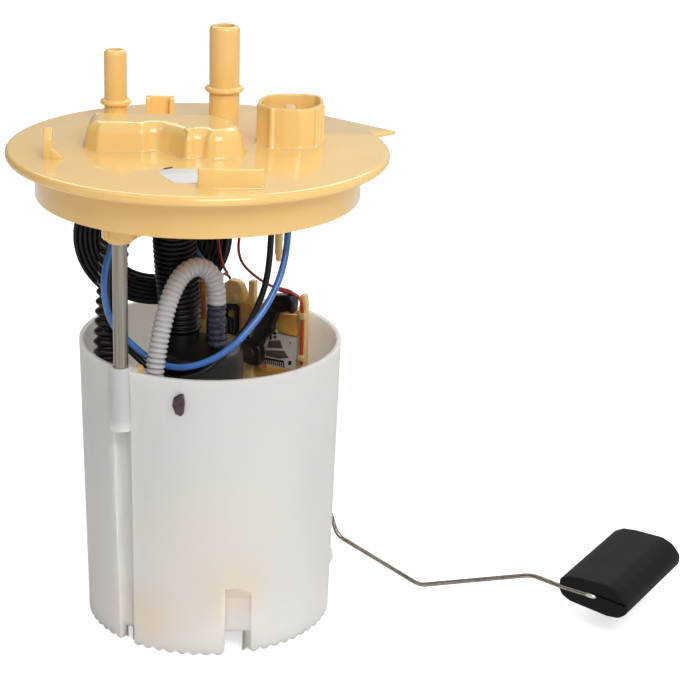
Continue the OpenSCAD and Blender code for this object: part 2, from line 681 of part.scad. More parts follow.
module pump_chamber() {
  bore = pump_r - pump_wall - seat;
  color("silver") in_pump() difference() {
    translate([0, 0, chamber_z]) cylinder(h = chamber_l, r = bore);
    translate([0, 0, chamber_z - 1]) cylinder(h = impeller_t + 2 * impeller_gap + 1, r = impeller_r + run);
    translate([0, 0, chamber_z]) cylinder(h = chamber_l + 1, r = shaft_r + bearing);
    translate([-10, 0, chamber_z]) cylinder(h = chamber_l + 1, r = 1.4, $fn = 24);
  }
}

module magnets() {
  arc = 150;
  outer = pump_r - pump_wall - seat;
  color("dimgray") in_pump() translate([0, 0, core_z - 1])
    for (a = [-arc / 2, 180 - arc / 2]) rotate([0, 0, a]) rotate_extrude(angle = arc)
      translate([rotor_r + 0.7, 0]) square([outer - rotor_r - 0.7, core_l + 2]);
}

module brush_cap() {
  bore = pump_r - pump_wall - seat;
  color("ivory") in_pump() difference() {
    union() {
      translate([0, 0, brush_cap_z]) cylinder(h = brush_cap_top_z - brush_cap_z, r = bore);
      translate([0, 0, brush_cap_top_z - 1]) cylinder(h = outlet_l + 1, r = outlet_r);
    }
    translate([0, 0, brush_cap_z - 1]) cylinder(h = commutator_l + 3, r = commutator_r + 1);
    translate([0, 0, brush_cap_z]) cylinder(h = commutator_l + 7, r = shaft_r + bearing);
    translate([0, -2.1, commutator_z + 0.9]) cube([bore + 1, 4.2, 4.2]);
    translate([-bore - 1, -2.1, commutator_z + 0.9]) cube([bore + 1, 4.2, 4.2]);
    translate([0, 0, brush_cap_top_z + 3]) cylinder(h = outlet_l - 4, r = outlet_bore_r);
    translate([0, 0, brush_cap_top_z + 4]) cylinder(h = outlet_l, r = 2.1);
    translate([0, 0, brush_cap_top_z - 3]) cylinder(h = 7, r = 2);
    for (a = [30, 150, 270]) rotate([0, 0, a]) translate([10, 0, brush_cap_z - 1])
      cylinder(h = 30, r = 1.2, $fn = 24);
    translate([-2, -11.2, brush_cap_top_z - 3]) cube([4, 22.4, 2]);
  }
}

module brushes() {
  inner = commutator_r + run;
  color("darkslategray") in_pump() for (a = [0, 180]) rotate([0, 0, a])
    translate([inner, -2, commutator_z + 1]) cube([4.6, 4, 4]);
}

module brush_springs() {
  from = commutator_r + run + 4.6 + seat;
  to = pump_r - pump_wall - 2 * seat;
  wire = 0.25;
  color("gray") in_pump() for (a = [0, 180]) rotate([0, 0, a]) translate([0, 0, commutator_z + 3]) rotate([0, 90, 0])
    sweep(helix(1.4, 4, from + wire, to - wire, 10), wire, 6);
}

module outlet_seal() {
  color("black") in_pump() translate([0, 0, brush_cap_top_z + 14]) rotate_extrude()
    translate([outlet_r + seat + 0.9, 0]) circle(r = 0.9, $fn = 24);
}

module isolator_lower() {
  color("dimgray") in_pump() translate([0, 0, shell_z + 2])
    ring(cap_r - cap_wall - seat, pump_r + seat, 6);
}

module isolator_upper() {
  color("dimgray") in_pump() translate([0, 0, shell_z + shell_l - 12])
    ring(cap_r - cap_wall - seat, pump_r + seat, 6);
}

module barb_nipple(h, r, bore) {
  difference() {
    union() {
      cylinder(h = h, r = r - 0.3);
      for (z = [h - 3 : -3.4 : 2]) translate([0, 0, z]) cylinder(h = 2.2, r1 = r + 0.1, r2 = r - 0.3);
    }
    translate([0, 0, -6]) cylinder(h = h + 7, r = bore);
  }
}

module pump_cap() {
  bore = cap_r - cap_wall;
  top = cap_top_z;
  round_r = 3;
  color("black") in_pump() {
    difference() {
      union() {
        translate([0, 0, cap_z]) cylinder(h = top - round_r - cap_z, r = cap_r);
        translate([0, 0, cap_z]) cylinder(h = top - cap_z, r = cap_r - round_r);
        translate([0, 0, top - round_r]) rotate_extrude() intersection() {
          translate([cap_r - round_r, 0]) circle(r = round_r, $fn = 32);
          square([cap_r, round_r]);
        }
        translate([feed_stub_at[0], feed_stub_at[1], top - 4]) cylinder(h = 8, r = 8.4);
        translate([feed_stub_at[0], feed_stub_at[1], top + 3]) cylinder(h = 9, r = 5);
        for (i = [2 : 4]) translate([-3.4 + 3.4 * i, 9, top - 1]) cube([1.6, 7 - i, 12 - i]);
      }
      translate([0, 0, cap_z - 1]) cylinder(h = top - 4 - cap_z, r = bore);
      translate([feed_stub_at[0], feed_stub_at[1], top - 6]) cylinder(h = 20, r = 3.6);
      translate([jet_port_at[0], jet_port_at[1], top - 6]) cylinder(h = 8, r = 1.5);
    }
    // Gland that takes the pump's outlet and its seal
    translate([0, 0, brush_cap_top_z + 9])
      ring(outlet_r + seat + 3.2, outlet_r + seat + 1.8 + seat, top - 13.5 - brush_cap_top_z);
    translate([jet_port_at[0], jet_port_at[1], top - 0.5]) barb_nipple(17, barb_r, 1.5);
  }
}

module jet_pump() {
  foot = floor_z + floor_t + seat;
  ends = jet_ends;
  turn = atan2(ends[1][1] - ends[0][1], ends[1][0] - ends[0][0]);
  span = norm(ends[1] - ends[0]);
  color("wheat") in_pot() difference() {
    union() {
      for (e = ends) translate([e[0], e[1], foot]) cylinder(h = 18, r = 5);
      translate([ends[0][0], ends[0][1], foot + 6]) rotate([0, 0, turn]) translate([0, -3.4, 0]) cube([span, 6.8, 9]);
      translate([ends[0][0], ends[0][1], foot + 17]) cylinder(h = 18, r = 3);
      translate([ends[1][0], ends[1][1], foot + 17]) cylinder(h = 18, r = barb_r);
    }
    for (e = ends) translate([e[0], e[1], foot + 10]) cylinder(h = 40, r = 1.4, $fn = 24);
    translate([ends[0][0], ends[0][1], foot + 11]) rotate([0, 0, turn]) rotate([0, 90, 0])
      cylinder(h = span, r = 1.2, $fn = 24);
    translate([ends[1][0], ends[1][1], foot - 1]) cylinder(h = 12, r = 2.6);
  }
}

module jet_hose() {
  sleeve_bore = barb_r + 0.2;
  top = cap_top_z + 0.2;
  color("lightgray") in_pot() {
    sweep(smooth(jet_hose_route, 2), jet_hose_r, 12);
    translate([pump_at[0] + jet_port_at[0], pump_at[1] + jet_port_at[1], top])
      ring(jet_hose_r + 0.2, sleeve_bore, jet_hose_route[0][2] + 0.4 - top);
    translate([jet_ends[1][0], jet_ends[1][1], hose_foot_z - 16.4]) ring(jet_hose_r + 0.2, sleeve_bore, 16.8);
  }
}

// Rotor pieces

module impeller() {
  hub = shaft_r + seat;
  color("sienna") in_pump() translate([0, 0, chamber_z + impeller_gap]) difference() {
    cylinder(h = impeller_t, r = impeller_r);
    translate([0, 0, -1]) cylinder(h = impeller_t + 2, r = hub);
    for (i = [0 : vanes - 1]) rotate([0, 0, 360 * i / vanes]) translate([impeller_r - 2.4, -0.4, -1])
      cube([4, 0.8, impeller_t + 2]);
  }
}

module rotor_shaft() {
  foot = shell_z + cover_l - 3 + run;
  color("silver") in_pump() translate([0, 0, foot])
    cylinder(h = commutator_z + commutator_l + 4.6 - foot, r = shaft_r);
}

module rotor_core() {
  color("slategray") in_pump() translate([0, 0, core_z]) difference() {
    cylinder(h = core_l, r = rotor_r);
    translate([0, 0, -1]) cylinder(h = core_l + 2, r = shaft_r + seat);
    for (i = [0 : 7]) rotate([0, 0, 45 * i]) translate([rotor_r - 4, -0.6, -1]) cube([6, 1.2, core_l + 2]);
    for (i = [0 : 7]) rotate([0, 0, 45 * i]) translate([rotor_r - 3.6, 0, -1])
      cylinder(h = core_l + 2, r = 1.5, $fn = 24);
  }
}

module rotor_winding() {
  color("chocolate") in_pump() {
    translate([0, 0, winding_z]) ring(rotor_r - 1, shaft_r + 1.4, winding_l - seat);
    translate([0, 0, core_z + core_l + seat]) ring(rotor_r - 1, shaft_r + 1.4, winding_l - seat);
    for (i = [0 : 7]) rotate([0, 0, 45 * i]) translate([rotor_r - 3.6, 0, winding_z + 1])
      cylinder(h = core_l + 2 * winding_l - 2, r = 1.4, $fn = 24);
  }
}

module commutator() {
  color("peru") in_pump() translate([0, 0, commutator_z]) difference() {
    cylinder(h = commutator_l, r = commutator_r);
    translate([0, 0, -1]) cylinder(h = commutator_l + 2, r = shaft_r + seat);
    for (i = [0 : 7]) rotate([0, 0, 45 * i]) translate([4.6, -0.2, -1]) cube([4, 0.4, commutator_l + 2]);
  }
}

// Outlet valve

module outlet_valve() {
  seat_z = brush_cap_top_z + 3 + run;
  color("dimgray") in_pump() translate([0, 0, seat_z]) {
    cylinder(h = 2.4, r = outlet_bore_r - run);
    translate([0, 0, 2]) cylinder(h = 4, r = 1.4);
  }
}

module outlet_valve_spring() {
  low = brush_cap_top_z + 3 + run + 2.4 + 0.6;
  high = brush_cap_top_z + outlet_l - 1 - 0.6;
  color("gray") in_pump() sweep(helix(2.4, 6, low, high, 12), 0.25, 6);
}

// Level sender

module sender_base() {
  boss_end = pot_bore_r(pivot_z) - run;
  plate_low = base_low_z;
  plate_top = 112;
  color("goldenrod") in_sender() difference() {
    union() {
      translate([-base_w / 2 + 2, base_front_y, plate_low]) cube([base_w - 2, base_t, plate_top - plate_low]);
      translate([-12, base_front_y, plate_top - 1]) cube([base_w / 2 + 7, base_t, 12]);
      // Block that carries the leads' contacts, with its rounded top
      translate([-20, base_front_y, plate_top - 1]) cube([9, base_t, 10]);
      translate([-20.6, base_front_y - 1.4, plate_top + 8.4]) cube([9.4, base_t + 1.4, 5.6]);
      translate([-16, base_front_y + base_t, plate_top + 14]) rotate([90, 0, 0]) cylinder(h = base_t + 1.4, r = 4.6);
      // Small post and the tall lead post with its clips
      translate([-9, base_front_y, plate_top + 10]) cube([3.2, base_t, 9]);
      translate([post_x - post_w / 2, base_front_y - 2, plate_low])
        cube([post_w, base_t + 0.6, post_top_z - plate_low]);
      for (z = [100.4, 119.4]) translate([post_x - post_w / 2, base_front_y - 4.4, z]) cube([post_w, 2.6, 3.4]);
      // Raised block over the card
      translate([8.6, base_front_y - 2, 113.4]) cube([8.4, 2.4, 8.8]);
      translate([pivot_x, boss_end, pivot_z]) rotate([90, 0, 0]) cylinder(h = boss_end - base_front_y, r = 4);
    }
    translate([pivot_x, boss_end + 1, pivot_z]) rotate([90, 0, 0]) cylinder(h = 20, r = wire_r + bearing);
    translate([post_x, post_lead_y, plate_low + 2]) cylinder(h = 50, r = thin_lead_r + 0.4, $fn = 24);
  }
}

module resistor_card() {
  color("lightgray") in_sender() translate([1, base_front_y - 0.8 - seat, base_low_z + 4.6])
    cube([post_x - post_w / 2 - 1.2, 0.8, 20.4]);
}

module sender_latch() {
  y = base_front_y - 2.6 - seat;
  latch_x = -base_w / 2 + 2.4;
  color("black") in_sender() difference() {
    translate([latch_x, y, base_low_z + 18]) cube([7.4, 2.6, 14]);
    translate([latch_x + 2, y - 1, base_low_z + 25.6]) cube([3.4, 5, 3.8]);
  }
}

module wiper_lever() {
  front = lever_front_y;
  thick = lever_t;
  elbow = [3.8, 12.6];
  head = [14.4, 24];
  color("black") in_sender() translate([pivot_x, front, pivot_z]) difference() {
    union() {
      translate([0, thick, 0]) rotate([90, 0, 0]) cylinder(h = thick, r = 6);
      rotate([0, -73, 0]) translate([0, 0.8, -2.7]) cube([norm(elbow) + 0.6, thick - 1.2, 5.4]);
      translate([elbow[0], thick - 0.4, elbow[1]]) rotate([90, 0, 0]) cylinder(h = thick - 1, r = 3.2);
      translate([elbow[0], 0, elbow[1]]) rotate([0, -47, 0]) translate([0, 1, -2.3]) cube([14, thick - 2, 4.6]);
      translate([head[0], 0, head[1]]) rotate([0, -12, 0]) translate([-4.6, 0.2, -2.9]) cube([9.2, thick - 1.4, 5.8]);
    }
    translate([0, thick + 1, 0]) rotate([90, 0, 0]) cylinder(h = thick + 2, r = wire_r + seat);
  }
}

module wiper_contact() {
  y = lever_front_y + lever_t + seat;
  contact_l = base_front_y - 0.9 - run - y;
  color("gold") in_sender() translate([pivot_x, y, pivot_z]) difference() {
    union() {
      translate([0, 0.5, 0]) rotate([90, 0, 0]) cylinder(h = 0.5, r = 4.6);
      rotate([0, 62, 0]) translate([0, 0, -1.6]) cube([9, 0.5, 3.2]);
      rotate([0, 62, 0]) translate([7.6, 0, 0]) rotate([-90, 0, 0]) cylinder(h = contact_l, r = 0.8, $fn = 24);
    }
    translate([0, 2, 0]) rotate([90, 0, 0]) cylinder(h = 4, r = wire_r + seat);
  }
}

module float_wire() {
  p = [for (b = arm_bends) [pivot_x + b[0], arm_y, pivot_z + b[1]]];
  last = p[len(p) - 1];
  tip = last + [0, float_l * 0.4, 0];
  color("silver") in_sender() {
    bar([pivot_x, lever_front_y + 0.4, pivot_z], p[0], wire_r);
    for (i = [0 : len(p) - 2]) bar(p[i], p[i + 1], wire_r);
    for (q = p) translate(q) sphere(r = wire_r + 0.05, $fn = 24);
    bar(last, tip, wire_r);
  }
}

module float() {
  near_y = arm_y - 0.9;
  groove = wire_r + seat;
  last = arm_bends[len(arm_bends) - 1];
  before = arm_bends[len(arm_bends) - 2];
  color("black") in_sender() translate([pivot_x, 0, pivot_z]) difference() {
    translate([0, near_y + float_l, 0]) rotate([90, 0, 0]) linear_extrude(float_l) polygon(float_outline);
    translate([last[0], arm_y - groove, last[1]]) rotate([-90, 0, 0])
      cylinder(h = groove + float_l * 0.4 + 1, r = groove, $fn = 24);
    translate([before[0] - 3, near_y - 1, before[1] - groove + 0.2])
      rotate([0, atan2(before[1] - last[1], last[0] - before[0]), 0])
        cube([last[0] - before[0] + 4, arm_y + groove - near_y + 1, 2 * groove]);
  }
}

flange();
connector_pins();
flange_sticker();
guide_rod_front();
guide_rod_rear();
rod_clip();
lift_spring();
vent_coil();
coil_tie();
feed_hose();
return_hose();
blue_lead();
black_lead();
red_lead_left();
red_lead_right();
lead_splice();
swirl_pot();
foot_valve();
inlet_strainer();
pump_holder();
pump_shell();
inlet_cover();
pump_chamber();
magnets();
brush_cap();
brushes();
brush_springs();
outlet_seal();
isolator_lower();
isolator_upper();
pump_cap();
jet_pump();
jet_hose();
impeller();
rotor_shaft();
rotor_core();
rotor_winding();
commutator();
outlet_valve();
outlet_valve_spring();
sender_base();
resistor_card();
sender_latch();
wiper_lever();
wiper_contact();
float_wire();
float();
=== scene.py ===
import json
import math

import bmesh
import bpy
import numpy as np
from mathutils import Matrix, Vector
from mathutils.geometry import tessellate_polygon


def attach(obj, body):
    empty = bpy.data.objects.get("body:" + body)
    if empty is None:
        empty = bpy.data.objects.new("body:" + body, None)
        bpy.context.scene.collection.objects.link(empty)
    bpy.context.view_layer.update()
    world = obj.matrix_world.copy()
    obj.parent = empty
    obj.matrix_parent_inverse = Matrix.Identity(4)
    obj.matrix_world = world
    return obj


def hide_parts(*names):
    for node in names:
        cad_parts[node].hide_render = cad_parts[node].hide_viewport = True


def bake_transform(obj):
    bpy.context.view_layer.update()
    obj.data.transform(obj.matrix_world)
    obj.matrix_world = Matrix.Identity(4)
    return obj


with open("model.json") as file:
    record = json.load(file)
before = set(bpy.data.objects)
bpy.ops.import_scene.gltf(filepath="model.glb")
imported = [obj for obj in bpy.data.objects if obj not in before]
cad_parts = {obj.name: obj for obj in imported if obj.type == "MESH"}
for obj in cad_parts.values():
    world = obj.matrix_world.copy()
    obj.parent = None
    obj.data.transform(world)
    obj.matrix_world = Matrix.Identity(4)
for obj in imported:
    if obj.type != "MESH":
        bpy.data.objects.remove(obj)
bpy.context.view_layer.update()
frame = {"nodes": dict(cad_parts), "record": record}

MM = 0.001

# Places and sizes that several pieces share, in mm. The origin is the flange's, with +Z up.
POT = np.array([5.3, -0.3, -197.2])  # the pot's axis and foot
POT_FOOT_R, POT_FLARE, POT_HEIGHT = 51.4, 2.6, 120.8  # its wall's outside, which widens up to the rim
ROD_CIRCLE_R = 53.8  # from the pot's axis to each guide rod
DISC_TOP = 4.0
DISC_R = 76.8
FEED_NIPPLE, RETURN_NIPPLE = (10.1, 33), (-35, 40)
FEED_PORT, RETURN_PORT = (-10, -3), (-32, -1)

# The level sender's frame: across its card, outward from the pot's axis, and up
SENDER_TURN = math.radians(32)
ACROSS = np.array([math.cos(SENDER_TURN), -math.sin(SENDER_TURN), 0])
OUTWARD = np.array([math.sin(SENDER_TURN), math.cos(SENDER_TURN), 0])
UP = np.array([0, 0, 1.0])
ARM_PIVOT = np.array([-2, 57.4, 102.4])  # the float arm's, in the sender's frame

# Turns for a body drawn upright, so that its height goes along X or along Y
ALONG_X = [[0, 1, 0], [0, 0, 1], [1, 0, 0]]
ALONG_Y = [[1, 0, 0], [0, 0, 1], [0, 1, 0]]


# Camera at the photograph's viewing angle

CAMERA_AT = (0.0111, -0.80909, 0.21045)  # in metres
CAMERA_TURN = (0.059, 0.342, 0.028)  # yaw, pitch and roll in radians
CAMERA_LENS, CAMERA_SENSOR = 109.7, 36  # in mm


def add_camera():
    yaw, pitch, roll = CAMERA_TURN
    forward = Vector((math.sin(yaw) * math.cos(pitch), math.cos(yaw) * math.cos(pitch), -math.sin(pitch)))
    right = Vector((math.cos(yaw), -math.sin(yaw), 0))
    up = right.cross(forward)
    turned_right = math.cos(roll) * right + math.sin(roll) * up
    turned_up = -math.sin(roll) * right + math.cos(roll) * up
    data = bpy.data.cameras.new("camera")
    data.sensor_width = CAMERA_SENSOR
    data.lens = CAMERA_LENS
    data.clip_end = 20
    camera = bpy.data.objects.new("camera", data)
    bpy.context.collection.objects.link(camera)
    turn = Matrix((turned_right, turned_up, -forward)).transposed()
    camera.matrix_world = Matrix.Translation(CAMERA_AT) @ turn.to_4x4()
    bpy.context.scene.camera = camera


add_camera()


# Materials

def linear(rgb):
    """An sRGB colour in steps of 0 to 255, as linear RGBA."""
    parts = (v / 255 for v in rgb)
    return tuple(c / 12.92 if c <= 0.04045 else ((c + 0.055) / 1.055) ** 2.4 for c in parts) + (1.0,)


def scaled(rgb, k):
    """A colour made brighter or darker by a factor."""
    return tuple(min(255, v * k) for v in rgb)


BUMP_DEPTH = 0.0004  # in metres


def set_inputs(node, values):
    """Sets a node's inputs by name; an underscore stands for a space."""
    for name, value in values.items():
        node.inputs[name.replace("_", " ")].default_value = value


def add_node(tree, kind, operation=None, **values):
    node = tree.nodes.new("ShaderNode" + kind)
    if operation:
        node.operation = operation
    set_inputs(node, values)
    return node


MATERIALS = {}


def material(name, rgb, rough=0.4, vary=0.05, scale=60, stretch=(1, 1, 1), bump=0.1, bump_scale=900,
             rough_vary=0.06, mask=None, **sockets):
    """A procedural material: its colour and roughness drift with noise, and finer noise gives its grain."""
    made = bpy.data.materials.new(name)
    made.use_nodes = True
    tree = made.node_tree
    link = tree.links.new
    shader = tree.nodes["Principled BSDF"]
    where = add_node(tree, "TexCoord")
    mapping = add_node(tree, "Mapping", Scale=stretch)
    link(where.outputs["Object"], mapping.inputs["Vector"])
    noise = add_node(tree, "TexNoise", Scale=scale, Detail=4)
    link(mapping.outputs["Vector"], noise.inputs["Vector"])
    ramp = add_node(tree, "ValToRGB")
    dark, light = ramp.color_ramp.elements
    dark.position, light.position = 0.3, 0.7
    dark.color = linear(scaled(rgb, 1 - vary))
    light.color = linear(scaled(rgb, 1 + vary * 0.6))
    link(noise.outputs["Fac"], ramp.inputs["Fac"])
    colour = ramp.outputs["Color"]
    if mask:
        colour = mask(tree, where, colour)
    link(colour, shader.inputs["Base Color"])
    spread = add_node(tree, "MapRange", To_Min=max(0.02, rough - rough_vary),
                      To_Max=min(1, rough + rough_vary))
    link(noise.outputs["Fac"], spread.inputs["Value"])
    link(spread.outputs["Result"], shader.inputs["Roughness"])
    grain = add_node(tree, "TexNoise", Scale=bump_scale, Detail=3)
    link(mapping.outputs["Vector"], grain.inputs["Vector"])
    relief = add_node(tree, "Bump", Strength=bump, Distance=BUMP_DEPTH)
    link(grain.outputs["Fac"], relief.inputs["Height"])
    link(relief.outputs["Normal"], shader.inputs["Normal"])
    set_inputs(shader, sockets)
    MATERIALS[name] = made


# Where warm glows of light are painted on the pot: each glow's centre in mm from the pot's foot, its reach
# in mm and its strength
POT_GLOWS = (((-27, -46, 15), 24, 0.95), ((12, -52, 31), 22, 0.9), ((2, -54, 52), 46, 0.5),
             ((-4, -52, 22), 34, 0.45), ((42, 28, 104), 34, 0.6))
GLOW_COLOUR = (255, 227, 203)
GLOW_CORE = 0.001  # the radius of full strength, in metres


def pot_painted_glows(tree, where, colour):
    """Paints faint warm glows of light into the colour, low on the pot's front and high at its right,
    standing in for light through its milky wall.
    """
    link = tree.links.new
    for centre, reach, amount in POT_GLOWS:
        apart = add_node(tree, "VectorMath", "DISTANCE")
        apart.inputs[1].default_value = Vector((POT + centre) * MM)
        link(where.outputs["Object"], apart.inputs[0])
        fade = add_node(tree, "MapRange", From_Min=reach * MM, From_Max=GLOW_CORE, To_Max=amount)
        fade.interpolation_type = "SMOOTHSTEP"
        link(apart.outputs["Value"], fade.inputs["Value"])
        mix = add_node(tree, "Mix")
        mix.data_type = "RGBA"
        link(fade.outputs["Result"], mix.inputs[0])
        link(colour, mix.inputs[6])
        mix.inputs[7].default_value = linear(GLOW_COLOUR)
        colour = mix.outputs[2]
    return colour


# Each has its name, sRGB colour, roughness, spread of colour and scale of noise, then what sets it apart
material("flange_plastic", (250, 209, 131), 0.13, 0.02, 25, bump=0.015, bump_scale=500, rough_vary=0.03,
         Subsurface_Weight=0.15, Subsurface_Scale=0.003, Subsurface_Radius=(1.0, 0.8, 0.5), Coat_Weight=0.35,
         Coat_Roughness=0.04)
# its mask paints warm glows of light into the pot's colour
material("pot_plastic", (247, 243, 236), 0.38, 0.015, 14, stretch=(1, 1, 0.3), bump=0.05, bump_scale=600,
         mask=pot_painted_glows, Subsurface_Weight=1.0, Subsurface_Scale=0.009, Subsurface_Radius=(1.0, 0.95, 0.88))
material("rod_steel", (150, 146, 137), 0.17, 0.16, 40, stretch=(30, 30, 0.5), bump=0.06, bump_scale=300,
         Metallic=1.0)
material("spring_steel", (120, 116, 110), 0.32, 0.1, 300, bump=0.05, Metallic=1.0)
material("coil_hose", (9, 9, 9), 0.45, 0.2, 120, bump=0.06, bump_scale=700, Specular_IOR_Level=0.35)
material("black_hose", (14, 13, 14), 0.32, 0.2, 120, bump=0.03, bump_scale=700)
material("black_plastic", (17, 15, 14), 0.36, 0.18, 80, bump=0.12, bump_scale=800)
material("blue_insulation", (60, 120, 204), 0.2, 0.08, 200, bump=0.04, Coat_Weight=0.5)
material("black_insulation", (15, 14, 14), 0.36, 0.15, 200, bump=0.06, Specular_IOR_Level=0.35)
material("red_insulation", (150, 22, 30), 0.34, 0.1, 300, bump=0.05)
material("orange_insulation", (212, 66, 26), 0.34, 0.1, 300, bump=0.05)
material("clear_hose", (200, 199, 203), 0.26, 0.03, 60, bump=0.04, Subsurface_Weight=1.0,
         Subsurface_Scale=0.003, Subsurface_Radius=(1.0, 0.9, 0.88))
material("smoked_hose", (60, 62, 78), 0.2, 0.4, 420, bump=0.05, Subsurface_Weight=0.3,
         Subsurface_Scale=0.002)
material("holder_plastic", (226, 184, 112), 0.34, 0.05, 60, bump=0.06, Subsurface_Weight=0.1,
         Subsurface_Scale=0.003)
material("sender_plastic", (243, 212, 146), 0.3, 0.06, 80, bump=0.06, Subsurface_Weight=0.3,
         Subsurface_Scale=0.003, Subsurface_Radius=(1.0, 0.7, 0.4))
material("amber_plastic", (226, 166, 82), 0.26, 0.12, 90, bump=0.05, Subsurface_Weight=0.3,
         Subsurface_Scale=0.004, Subsurface_Radius=(1.0, 0.5, 0.15))
material("shell_steel", (150, 152, 156), 0.32, 0.08, 60, stretch=(1, 1, 20), bump=0.05, Metallic=1.0)
material("cast_aluminium", (168, 170, 172), 0.42, 0.08, 200, bump=0.2, Metallic=1.0)
material("copper", (200, 120, 76), 0.3, 0.1, 500, bump=0.1, Metallic=1.0)
material("contact_brass", (206, 176, 110), 0.25, 0.08, 400, bump=0.03, Metallic=1.0)
material("ferrite", (58, 58, 62), 0.6, 0.15, 300, bump=0.2)
material("carbon", (44, 44, 46), 0.55, 0.15, 400, bump=0.2)
material("valve_rubber", (36, 36, 38), 0.6, 0.15, 200, bump=0.2)
material("impeller_plastic", (120, 84, 54), 0.4, 0.1, 200, bump=0.1)
material("core_iron", (110, 112, 116), 0.4, 0.12, 60, stretch=(1, 1, 60), bump=0.2, Metallic=0.9)
material("strainer_mesh", (220, 220, 214), 0.7, 0.06, 1500, bump=0.4, bump_scale=2500)
material("card_ceramic", (214, 208, 200), 0.4, 0.04, 150, bump=0.05)
material("track_ink", (92, 80, 72), 0.45, 0.12, 400, bump=0.1)
material("float_foam", (15, 13, 12), 0.62, 0.2, 90, bump=0.2, bump_scale=1400, Specular_IOR_Level=0.2)
# painted shade for the inside of the float's slit
material("slit_painted_shade", (5, 4, 4), 0.8, 0.2, 200, bump=0.1, Specular_IOR_Level=0.05)
material("bright_steel", (226, 222, 212), 0.3, 0.06, 200, bump=0.04, Metallic=0.6)
material("sticker_paper", (224, 223, 221), 0.5, 0.02, 120, bump=0.08)
material("dab_ink", (70, 48, 54), 0.3, 0.45, 500, bump=0.6, bump_scale=350)
material("amber_dark", (172, 104, 44), 0.3, 0.3, 120, bump=0.1)
material("hub_brown", (54, 28, 24), 0.4, 0.2, 200, bump=0.1)
material("latch_purple", (15, 12, 15), 0.36, 0.25, 160, bump=0.2, bump_scale=600)


# Mesh helpers, in millimetres

def make(name, points, faces, slot, body, smooth=True, replaces=(), blend=None, mat=None,
         ends=("pot", "flange")):
    """Adds a piece with its slot's material, or with mat where it looks different. An angle in smooth keeps
    steeper edges sharp, and a piece given blend has its place baked into its mesh and is not attached to a
    body."""
    mesh = bpy.data.meshes.new(name)
    mesh.from_pydata([tuple(p * MM) for p in np.asarray(points, float)], [], faces)
    clean = bmesh.new()
    clean.from_mesh(mesh)
    bmesh.ops.remove_doubles(clean, verts=clean.verts, dist=1e-7)
    bmesh.ops.recalc_face_normals(clean, faces=clean.faces)
    clean.to_mesh(mesh)
    clean.free()
    if smooth:
        mesh.shade_smooth()
        if smooth is not True:
            mesh.set_sharp_from_angle(angle=math.radians(smooth))
    mesh.materials.append(MATERIALS[mat or slot])
    obj = bpy.data.objects.new(name, mesh)
    bpy.context.collection.objects.link(obj)
    if replaces:
        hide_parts(*replaces)
    if blend:
        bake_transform(obj)
    else:
        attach(obj, body)
    return obj


def grid_faces(rows, columns):
    """Four-sided faces between closed rings of points."""
    faces = []
    for i in range(rows - 1):
        for j in range(columns):
            k = (j + 1) % columns
            a = i * columns
            faces.append((a + j, a + k, a + columns + k, a + columns + j))
    return faces


def merged(parts):
    """Joins (points, faces) pairs into one."""
    points, faces = [], []
    for p, f in parts:
        start = len(points)
        points.extend(p)
        faces.extend(tuple(i + start for i in face) for face in f)
    return np.array(points), faces


def lathe(profile, centre, steps):
    """Turns a profile of (radius, height) points about +Z."""
    angles = np.radians(np.linspace(0, 360, steps, endpoint=False))
    points = [(r * math.cos(a), r * math.sin(a), z) for r, z in profile for a in angles]
    return np.array(points) + np.array(centre), grid_faces(len(profile), steps)


def arc_points(cx, cy, r, a0, a1, n):
    """Points on an arc from the angle a0 to a1, in degrees."""
    angles = [math.radians(a0 + (a1 - a0) * i / n) for i in range(n + 1)]
    return [(cx + r * math.cos(a), cy + r * math.sin(a)) for a in angles]


NEARLY_STRAIGHT = 1.54  # half a corner's angle in radians, past which it stays as it is
SIDE_SHARE = 0.49  # the most of a side that the arc at one of its ends takes
ARC_STEP, SIDE_STEP = 0.6, 2.5  # the gaps between points on arcs and on sides, in steps


def rounded_outline(corners, step=0.8):
    """A closed outline through corners (x, y, radius), each rounded, with points about a step apart."""
    out = []
    n = len(corners)
    for i in range(n):
        p = np.array(corners[i][:2], float)
        r = corners[i][2]
        a = np.array(corners[i - 1][:2], float) - p
        b = np.array(corners[(i + 1) % n][:2], float) - p
        la, lb = np.linalg.norm(a), np.linalg.norm(b)
        a, b = a / la, b / lb
        half = math.acos(max(-1, min(1, float(a @ b)))) / 2
        if r <= 0 or half > NEARLY_STRAIGHT:
            out.append(p)
            continue
        reach = min(r / math.tan(half), SIDE_SHARE * la, SIDE_SHARE * lb)
        r = reach * math.tan(half)
        centre = p + (a + b) / np.linalg.norm(a + b) * (r / math.sin(half))
        s, e = p + a * reach - centre, p + b * reach - centre
        a0, a1 = math.atan2(s[1], s[0]), math.atan2(e[1], e[0])
        turn = (a1 - a0 + math.pi) % (2 * math.pi) - math.pi
        steps = max(2, int(abs(turn) * r / (step * ARC_STEP)) + 1)
        out.extend(centre + r * np.array([math.cos(a0 + turn * k / steps), math.sin(a0 + turn * k / steps)])
                   for k in range(steps + 1))
    dense = []
    for i, p in enumerate(out):
        q = out[(i + 1) % len(out)]
        pieces = max(1, int(np.linalg.norm(q - p) / (step * SIDE_STEP)))
        dense.extend(p + (q - p) * k / pieces for k in range(pieces))
    return np.array(dense)


